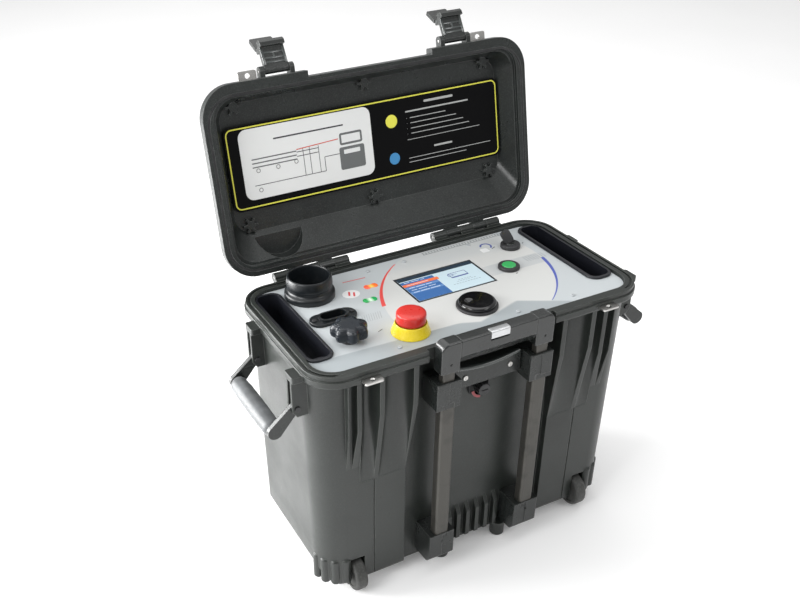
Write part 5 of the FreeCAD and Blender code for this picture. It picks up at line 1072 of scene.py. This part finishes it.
@dataclass
class LidPlate:
    """Print on the instruction plate inside the lid: a plain drawing and plain strokes."""

    bench: Bench
    open_angle: float
    half_x: float = 221.0
    half_reach: float = 58.0
    thick: float = 2.0
    yellow: Finish = PlainPlastic("plate_yellow", (0.9, 0.87, 0.1), rough=0.35)
    white: Finish = PlainPlastic("plate_white", (0.86, 0.87, 0.86), rough=0.4, vary=0.03)
    ink: Finish = PlainPlastic("plate_ink", (0.05, 0.05, 0.055), rough=0.4)
    red: Finish = PlainPlastic("plate_red", (0.75, 0.09, 0.05), rough=0.4)
    blue: Finish = PlainPlastic("plate_blue", (0.06, 0.3, 0.62), rough=0.4)
    stroke: Finish = PlainPlastic("plate_stroke", (0.5, 0.51, 0.5), rough=0.4)
    grey: Finish = PlainPlastic("plate_grey", (0.16, 0.17, 0.17), rough=0.4)

    def frame(self) -> Matrix:
        """From the plate's own plane to the base's millimetres."""
        turn = Matrix.Rotation(-math.radians(self.open_angle), 4, "X")
        flipped = turn @ Matrix(((1, 0, 0, 0), (0, -1, 0, 0), (0, 0, -1, 0), (0, 0, 0, 1)))
        middle = self.bench.place.centre("lid_label")
        return Matrix.Translation(middle) @ flipped @ Matrix.Translation((0, 0, self.thick / 2))

    def drawing(self) -> Shape:
        """White field with a wiring sketch made of lines, rings and a block."""
        low, high = PRINT_LOW, PRINT_HIGH
        top = high * 2
        made = tile(-201.0, 2.0, -45.0, 52.0, low, high, 12.0, 1)
        made.add(line((-150.0, 33.0), (-42.0, 33.0), 2.0, low, top, 2))
        for y in (10.0, 4.5, -1.0):
            made.add(line((-186.0, y), (-118.0, y), 1.6, low, top, 6))
        for y in (8.5, 2.5):
            made.add(line((-118.0, y), (-84.0, y), 1.0, low, top, 2))
        made.add(line((-118.0, 12.0), (-52.0, 15.0), 1.2, low, top, 3))
        for x in (-108.0, -98.0, -84.0):
            made.add(line((x, -26.0), (x, 12.0), 0.8, low, top, 2))
        made.add(line((-186.0, -26.0), (-76.0, -26.0), 0.9, low, top, 2))
        made.add(line((-76.0, -26.0), (-76.0, -6.0), 0.9, low, top, 2))
        made.add(line((-76.0, -6.0), (-52.0, -6.0), 0.9, low, top, 2))
        for x, y in ((-178.0, -6.0), (-148.0, -6.0), (-178.0, -33.0), (-120.0, -4.0)):
            made.add(border(x - 3, x + 3, y - 3, y + 3, 2.8, 0.7, low, top, 2))
        made.add(tile(-52.0, -12.0, -30.0, 2.0, low, top, 3.0, 6))
        made.add(border(-50.0, -14.0, 5.0, 22.0, 3.0, 3.0, low, top, 6))
        made.add(tile(-45.0, -19.0, -8.0, -2.0, low, top * 1.2, 1.0, 1))
        return made

    def notes(self) -> Shape:
        """Plain strokes and discs on the black part."""
        low, high = PRINT_LOW, PRINT_HIGH
        made = line((92.0, 44.0), (142.0, 44.0), 3.4, low, high, 5)
        made.add(line((60.0, 33.5), (168.0, 33.5), 2.2, low, high, 5))
        for y, end in ((24.0, 128.0), (16.5, 146.0), (9.0, 158.0), (1.5, 168.0)):
            made.add(line((61.0, y), (61.8, y), 1.4, low, high, 5))
            made.add(line((67.0, y), (end, y), 1.1, low, high, 5))
        made.add(line((60.0, -7.0), (186.0, -7.0), 0.9, low, high, 5))
        made.add(line((104.0, -23.0), (136.0, -23.0), 2.8, low, high, 5))
        made.add(line((60.0, -34.0), (204.0, -34.0), 1.0, low, high, 5))
        made.add(line((60.0, -40.0), (160.0, -40.0), 1.0, low, high, 5))
        for y, radius, finish in ((24.0, 9.5, 0), (-30.0, 8.5, 4)):
            disc = outline_disc(lambda a, r=radius: (r * math.cos(a), r * math.sin(a)), 40)
            made.add(raise_sheet(disc, low, high).shift(36.0, y, 0).paint(finish))
        return made

    def build(self) -> None:
        """Prints the plate."""
        inset = 2.6
        made = border(-self.half_x + inset, self.half_x - inset, -self.half_reach + inset,
                      self.half_reach - inset, 9.0, 1.9, PRINT_LOW, PRINT_HIGH, 0)
        made.add(self.drawing()).add(self.notes())
        finishes = [self.yellow, self.white, self.ink, self.red, self.blue, self.stroke, self.grey]
        self.bench.piece("lid_plate_print", made.move(self.frame()), finishes, "lid", "label_board")


@dataclass
class HighVoltageSocket:
    """Stepped and flared black socket with a wide, deep mouth."""

    bench: Bench
    top: float

    def build(self) -> None:
        """Turns the socket over the frame's own."""
        middle = self.bench.place.centre("hv_socket")
        profile = [(26.0, -39.0), (26.0, 0.3), (34.8, 0.3), (35.2, 1.2), (35.2, 6.6), (34.8, 8.4),
                   (33.9, 9.6), (32.6, 10.4), (31.6, 11.2), (30.6, 12.6), (30.3, 14.4), (30.5, 16.2),
                   (31.2, 17.4), (31.8, 18.6), (32.0, 20.2), (31.8, 24.0), (31.2, 28.6), (30.8, 30.6),
                   (30.1, 31.8), (29.2, 32.3), (28.3, 32.2), (27.7, 31.4), (27.4, 29.8), (27.0, 18.0),
                   (26.0, 10.0), (24.6, 6.0), (24.2, 2.0), (24.2, -20.0), (23.6, -32.0), (19.0, -33.0),
                   (10.0, -33.4), (8.6, -32.4), (8.2, -30.0), (8.2, -14.0), (7.6, -12.8), (6.6, -12.4),
                   (4.1, -12.4), (4.1, -39.0), (26.0, -39.0)]
        shape = turned(profile, 128).shift(middle.x, middle.y, self.top)
        self.bench.piece("hv_socket_turned", shape, [SOCKET], "case", "socket_plastic", ["hv_socket"])


@dataclass
class StarKnob:
    """Clamping knob with seven soft lobes and a dished top."""

    bench: Bench
    lobes: int = 7
    outer: float = 25.0
    waist: float = 19.6
    high: float = 18.0

    def edge(self, angle: float, grow: float) -> tuple[float, float]:
        """Edge of the knob at an angle.

        Args:
            angle: Angle in radians.
            grow: Scale of the outline.

        Returns:
            X and Y.
        """
        wave = 0.5 + 0.5 * math.cos(self.lobes * angle)
        radius = (self.waist + (self.outer - self.waist) * wave ** 0.7) * grow
        return radius * math.cos(angle), radius * math.sin(angle)

    def build(self) -> None:
        """Draws the knob up in rings from its foot."""
        low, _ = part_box("ground_knob")
        middle = self.bench.place.centre("ground_knob")
        foot = low.z / MM
        rings = [(0.8, 0.0), (0.9, 0.6), (0.97, 2.0), (1.0, 4.5), (1.0, 9.5), (0.985, 12.0),
                 (0.95, 14.2), (0.88, 16.2), (0.78, 17.5), (0.66, 18.0), (0.55, 17.7), (0.5, 16.9),
                 (0.46, 16.4), (0.3, 16.4), (0.12, 16.6)]
        knob = outline_disc(lambda a: self.edge(a, rings[0][0]), 168)
        face = knob.bm.faces[:]
        for (before, z0), (after, z1) in zip(rings, rings[1:]):
            up = bmesh.ops.extrude_face_region(knob.bm, geom=face, use_keep_orig=z0 == 0.0)
            face = [f for f in up["geom"] if isinstance(f, bmesh.types.BMFace)]
            verts = [v for v in up["geom"] if isinstance(v, bmesh.types.BMVert)]
            bmesh.ops.scale(knob.bm, vec=(after / before, after / before, 1.0), verts=verts)
            bmesh.ops.translate(knob.bm, vec=(0, 0, z1 - z0), verts=verts)
        bmesh.ops.recalc_face_normals(knob.bm, faces=knob.bm.faces)
        knob.shift(middle.x, middle.y, foot)
        self.bench.piece("ground_knob_soft", knob, [KNOB], "ground_knob", "socket_plastic",
                         ["ground_knob"], 50.0)


@dataclass
class EmergencyStop:
    """Mushroom cap whose skirt sinks into the well of a flared collar."""

    bench: Bench
    skirt: float = 4.0

    def cap(self) -> None:
        """Turns the cap."""
        low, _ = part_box("estop_cap")
        middle = self.bench.place.centre("estop_cap")
        profile = [(0.0, 0.0), (17.6, 0.0), (17.8, -self.skirt), (19.0, -self.skirt), (19.3, -self.skirt + 0.5),
                   (19.6, 0.0), (19.6, 7.2), (19.4, 8.6), (18.8, 9.7), (17.7, 10.3), (15.0, 10.7),
                   (10.0, 10.93), (0.0, 11.0)]
        shape = turned(profile, 96)
        shape.shift(middle.x, middle.y, low.z / MM)
        # The cap's red finish glows faintly: painted light, the cap is no lamp.
        self.bench.piece("estop_cap_turned", shape, [RED], "estop_cap", "estop_red", ["estop_cap"])

    def collar(self) -> None:
        """Turns the collar."""
        low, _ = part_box("estop_collar")
        middle = self.bench.place.centre("estop_collar")
        profile = [(9.5, 0.0), (26.0, 0.0), (26.0, 1.2), (25.7, 2.2), (24.6, 4.6), (23.2, 8.0),
                   (22.2, 11.0), (21.5, 13.4), (21.2, 14.6), (20.8, 15.0), (20.4, 14.8),
                   (20.2, 14.2), (20.1, 9.6), (9.5, 9.6), (9.5, 0.0)]
        shape = turned(profile, 96).shift(middle.x, middle.y, low.z / MM)
        self.bench.piece("estop_collar_turned", shape, [YELLOW], "case", "estop_yellow",
                         ["estop_collar"])

    def build(self) -> None:
        """Makes cap and collar."""
        self.cap()
        self.collar()


@dataclass
class JogDial:
    """Glossy dial with a finger dimple."""

    bench: Bench
    radius: float = 25.5
    high: float = 6.0
    dimple: tuple[float, float] = (-11.5, 3.0)
    dimple_radius: float = 7.5
    dimple_depth: float = 2.4

    def build(self) -> None:
        """Turns the dial and presses the dimple."""
        low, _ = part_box("jog_knob")
        middle = self.bench.place.centre("jog_knob")
        edge = [(0.0, 0.0), (24.6, 0.0), (25.3, 0.5), (25.5, 1.4), (25.5, 3.0), (25.2, 4.0),
                (24.5, 4.8), (23.4, 5.3), (22.0, 5.6)]
        top = [(22.0 - 0.8 * i, 5.6 + 0.4 * math.sin(0.5 * math.pi * i / 27)) for i in range(1, 28)]
        shape = turned(edge + top + [(0.0, 6.0)], 128)
        spot = Vector(self.dimple)
        for vert in shape.bm.verts:
            away = (vert.co.xy - spot).length / self.dimple_radius
            if vert.co.z > 4.5 and away < 1.0:
                vert.co.z -= self.dimple_depth * (0.5 + 0.5 * math.cos(math.pi * away))
        shape.shift(middle.x, middle.y, low.z / MM)
        self.bench.piece("jog_dial_turned", shape, [DIAL], "jog_knob", "socket_plastic", ["jog_knob"])


@dataclass
class KeySwitch:
    """Key lock with its barrel and a black paddle key that leans to the rear."""

    bench: Bench
    barrel: float = 8.0
    lean: float = -24.0

    def build(self) -> None:
        """Makes the barrel and the key."""
        low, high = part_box("key_housing")
        top = high.z / MM
        middle = self.bench.place.centre("key_housing")
        made = turned([(0.0, -20.0), (7.9, -20.0), (7.9, 0.2), (7.4, 0.8), (5.2, 0.9), (4.9, 0.2), (0.0, 0.2)], 64)
        made.paint(1)
        blade = tile(-4.0, 4.0, -1.2, 1.2, -2.0, 4.0, 0.5, 1)
        bow = raise_sheet(rounded_sheet(15.0, 22.0, 5.4, 8), -2.8, 2.8).round(1.5, 3, 50.0)
        bow.move(Matrix.Rotation(math.radians(90.0), 4, "X")).shift(0, 0, 11.0)
        bow.move(Matrix.Rotation(math.radians(self.lean), 4, "X"))
        bow.move(Matrix.Rotation(math.radians(-24.0), 4, "Y")).paint(0)
        made.add(blade).add(bow).shift(middle.x, middle.y, top)
        self.bench.piece("key_and_barrel", made, [SWITCH, BRACKET], "key_barrel", "key_metal",
                         ["key_barrel"])


@dataclass
class BraceLip:
    """Rolled lip along the dished top edge of the bridge between the rails, in a paler finish that is a painted
    highlight.
    """

    bench: Bench
    radius: float = 3.0
    proud: float = 1.8
    sag: float = 6.0
    steps: int = 24

    def build(self) -> None:
        """Draws a round section along the edge."""
        low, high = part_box("trolley_cross_brace")
        origin = self.bench.place.origin
        half = high.x / MM - self.radius
        front = (low.y - origin.y) / MM + self.radius - self.proud
        top = high.z / MM - self.radius + self.proud
        lip = Shape()
        ring = bmesh.ops.create_circle(lip.bm, cap_ends=True, segments=20, radius=self.radius)["verts"]
        bmesh.ops.rotate(lip.bm, cent=(0, 0, 0), matrix=Matrix.Rotation(math.radians(90.0), 3, "Y"), verts=ring)
        bmesh.ops.translate(lip.bm, vec=(-half, front, top), verts=ring)
        face = lip.bm.faces[:]
        bends = [(-half + 2 * half * i / self.steps) for i in range(self.steps + 1)]
        drops = [top - self.sag * (1 - (x / half) ** 2) for x in bends]
        for index in range(1, len(bends)):
            out = bmesh.ops.extrude_face_region(lip.bm, geom=face, use_keep_orig=index == 1)
            face = [f for f in out["geom"] if isinstance(f, bmesh.types.BMFace)]
            verts = [v for v in out["geom"] if isinstance(v, bmesh.types.BMVert)]
            step = (bends[index] - bends[index - 1], 0, drops[index] - drops[index - 1])
            bmesh.ops.translate(lip.bm, vec=step, verts=verts)
        bmesh.ops.recalc_face_normals(lip.bm, faces=lip.bm.faces)
        self.bench.piece("brace_lip_painted_highlight", lip, [LIP_PAINTED_HIGHLIGHT], "case", "case_plastic")


@dataclass
class LatchRibs:
    """Raised rails and cross bars on the inner face of a hook latch's arm, in the paler lip finish that is a
    painted highlight.
    """

    bench: Bench
    side: str
    pivot: Point
    turn: float
    half: float = 17.5
    face: float = 6.0
    proud: float = 1.1
    reach: float = 32.0
    bars: tuple[float, ...] = (-8.5, -14.0, -21.5)

    def frame(self) -> Matrix:
        """From the face's own plane to the base's millimetres, with the latch hanging open."""
        plane = Matrix(((-1, 0, 0, 0), (0, 0, 1, self.face), (0, 1, 0, 0), (0, 0, 0, 1)))
        origin = self.bench.place.origin
        spot = (Vector(self.pivot) - origin) / MM
        return Matrix.Translation(spot) @ Matrix.Rotation(-math.radians(self.turn), 4, "X") @ plane

    def build(self) -> None:
        """Raises the rails, the bars and a middle web."""
        inner = self.half - 4.2
        made = Shape()
        for x in (-self.half + 0.4, inner):
            rail = tile(x, x + 3.8, -self.reach, -5.5, -0.3, self.proud, 0.8).round(0.4, 2, 50.0)
            made.add(rail)
        for y in self.bars:
            made.add(tile(-inner - 0.5, inner + 0.5, y - 1.3, y + 1.3, -0.3, self.proud - 0.2).round(0.4, 2, 50.0))
        made.add(tile(-1.3, 1.3, self.bars[2], self.bars[1], -0.3, self.proud - 0.3))
        self.bench.piece(f"latch_{self.side}_ribs", made.move(self.frame()), [LIP_PAINTED_HIGHLIGHT],
                         f"latch_{self.side}", "case_plastic")


@dataclass
class ValveMark:
    """Dull red arc printed beside the pressure valve."""

    bench: Bench
    radius: float = 14.0
    red: Finish = PlainPlastic("valve_red", (0.34, 0.06, 0.07), rough=0.4)

    def build(self) -> None:
        """Lays the arc on the front of the valve's seat."""
        low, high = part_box("valve_seat")
        middle = self.bench.place.centre("valve_seat")
        face = (low.y - self.bench.place.origin.y) / MM
        mark = Shape()
        spots = [(self.radius - 2.0, -0.1), (self.radius - 2.0, 0.3), (self.radius + 2.0, 0.3),
                 (self.radius + 2.0, -0.1)]
        verts = [mark.bm.verts.new((r, 0.0, z)) for r, z in spots]
        corner = mark.bm.faces.new(verts)
        bmesh.ops.spin(mark.bm, geom=[corner], cent=(0, 0, 0), axis=(0, 0, 1),
                       angle=math.radians(75.0), steps=16)
        bmesh.ops.recalc_face_normals(mark.bm, faces=mark.bm.faces)
        mark.move(Matrix.Rotation(math.radians(190.0), 4, "Z"))
        mark.move(Matrix.Rotation(math.radians(90.0), 4, "X"))
        mark.shift(middle.x, face, middle.z)
        self.bench.piece("valve_mark", mark, [self.red], "case", "case_plastic")


@dataclass
class SideSleeve:
    """Soft sleeve of a folding end handle, fuller in the middle and gripped at both ends."""

    bench: Bench
    name: str
    swell: float = 1.0
    steps: int = 40

    def profile(self, half: float, radius: float) -> list[tuple[float, float]]:
        """Radius along the sleeve.

        Args:
            half: Half the length.
            radius: Radius at the middle.

        Returns:
            Radius and place of each point.
        """
        spots = [(0.0, -half)]
        for i in range(self.steps + 1):
            along = -1.0 + 2.0 * i / self.steps
            fall = 0.13 * abs(along) ** 3 + 0.24 * max(0.0, abs(along) - 0.93) / 0.07
            ripple = 0.012 * math.cos(along * 22.0) * (abs(along) < 0.8)
            spots.append((radius * (1.0 - fall + ripple - 0.012), along * half))
        return spots + [(0.0, half)]

    def build(self) -> None:
        """Turns the sleeve about the handle's own axis."""
        node = f"{self.name}_grip"
        low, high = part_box(node)
        size = (high - low) / MM
        middle = self.bench.place.centre(node)
        sleeve = turned(self.profile(size.y / 2, min(size.x, size.z) / 2), 64)
        sleeve.move(Matrix.Rotation(math.radians(90.0), 4, "X")).shift(*middle)
        self.bench.piece(f"{self.name}_sleeve", sleeve, [SLEEVE], self.name, "grip_rubber", [node])


def main() -> None:
    """Builds the scene, one sub-assembly at a time."""
    logging.basicConfig(level=logging.INFO, format="%(name)s: %(message)s")
    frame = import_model()
    place = Placing.from_frame()
    bench = Bench(place)
    panel_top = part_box("panel_plate")[1].z
    for name, node in frame["nodes"].items():
        if name == "panel_plate":
            finish = PanelPrint("panel_print", (0.53, 0.565, 0.58), centre=(0.0, place.origin.y, panel_top))
        else:
            finish = NODE_FINISHES[name]
        node.data.materials.clear()
        node.data.materials.append(finish.make())
        LOG.info("dressed %s in %s", name, finish.name)
    Studio(place).build()
    joints = {joint["name"]: joint for joint in frame["joints"]}
    lid_open = joints["lid_hinge"]["range_deg"][1]
    latches = []
    for side in ("left", "right"):
        swing = joints[f"latch_{side}_swing"]
        latches.append(LatchRibs(bench, side, tuple(swing["pos_m"]), lid_open + swing["range_deg"][1]))
    panel_mm = panel_top / MM
    parts = (PanelMarks(bench, panel_mm), Lamps(bench, panel_mm), Screen(bench),
             LidPlate(bench, lid_open), HighVoltageSocket(bench, panel_mm), StarKnob(bench),
             EmergencyStop(bench), JogDial(bench), KeySwitch(bench), BraceLip(bench), ValveMark(bench),
             SideSleeve(bench, "side_handle_left"), SideSleeve(bench, "side_handle_right"), *latches)
    for part in parts:
        part.build()


@dataclass
class Studio:
    """Pale floor, soft lights and the camera."""

    place: Placing
    target: Point = (0.0, 0.0, 330.0)
    camera_spot: Point = (-631.84, -965.49, 1028.74)
    right: Point = (0.8948, -0.4456, -0.0267)
    up: Point = (0.2671, 0.4865, 0.8319)
    forward: Point = (0.3577, 0.7515, -0.5543)

    def build(self) -> None:
        """Makes the whole studio."""
        self.floor()
        self.camera()
        self.lamp("overhead", (-400.0, 1200.0, 3400.0), 5.6, 125.0)
        self.lamp("key", (-2100.0, -500.0, 1500.0), 1.0, 26.0)
        self.lamp("side", (-1500.0, 900.0, 480.0), 1.2, 80.0)
        self.lamp("edge", (900.0, -1500.0, 1900.0), 0.7, 8.0)
        world = bpy.data.worlds.new("studio")
        world.use_nodes = True
        world.node_tree.nodes["Background"].inputs[0].default_value = (1.0, 1.0, 1.0, 1.0)
        world.node_tree.nodes["Background"].inputs[1].default_value = 0.45
        bpy.context.scene.world = world
        bpy.context.scene.view_settings.view_transform = "Standard"

    def floor(self) -> None:
        """A wide pale sheet under the case."""
        sheet = bmesh.new()
        bmesh.ops.create_grid(sheet, x_segments=1, y_segments=1, size=6.0)
        mesh = bpy.data.meshes.new("floor")
        sheet.to_mesh(mesh)
        sheet.free()
        floor = bpy.data.objects.new("floor", mesh)
        bpy.context.scene.collection.objects.link(floor)
        paint = Graph("floor_paper")
        haze = paint.step(paint.noise(paint.place(), 3.0), 0.3, 0.7, 0.0, 1.0)
        paint.surface(paint.mix(haze, (0.93, 0.93, 0.93), (0.95, 0.95, 0.95)), 0.9)
        paint.shader.inputs["Emission Color"].default_value = (1.0, 1.0, 1.0, 1.0)
        paint.shader.inputs["Emission Strength"].default_value = 0.1
        mesh.materials.append(paint.material)

    def camera(self) -> None:
        """The camera at the catalogue angle."""
        lens = bpy.data.cameras.new("camera")
        lens.lens = 42.86
        lens.sensor_width = 36.0
        lens.shift_x = 0.0875
        lens.shift_y = 0.08
        lens.clip_end = 30.0
        camera = bpy.data.objects.new("camera", lens)
        bpy.context.scene.collection.objects.link(camera)
        spot = self.place.at(*self.camera_spot)
        rows = [(self.right[i], self.up[i], -self.forward[i], spot[i]) for i in range(3)]
        camera.matrix_world = Matrix((*rows, (0.0, 0.0, 0.0, 1.0)))
        bpy.context.scene.camera = camera

    def lamp(self, name: str, spot: Point, size: float, power: float) -> None:
        """A square soft light aimed at the case.

        Args:
            name: Name of the light.
            spot: Where it hangs, in millimetres.
            size: Side of the light in metres.
            power: Power in watts.
        """
        light = bpy.data.lights.new(name, "AREA")
        light.size = size
        light.energy = power
        lamp = bpy.data.objects.new(name, light)
        bpy.context.scene.collection.objects.link(lamp)
        lamp.location = self.place.at(*spot)
        aim = self.place.at(*self.target) - lamp.location
        lamp.rotation_euler = aim.to_track_quat("-Z", "Y").to_euler()


if __name__ == "__main__":
    main()
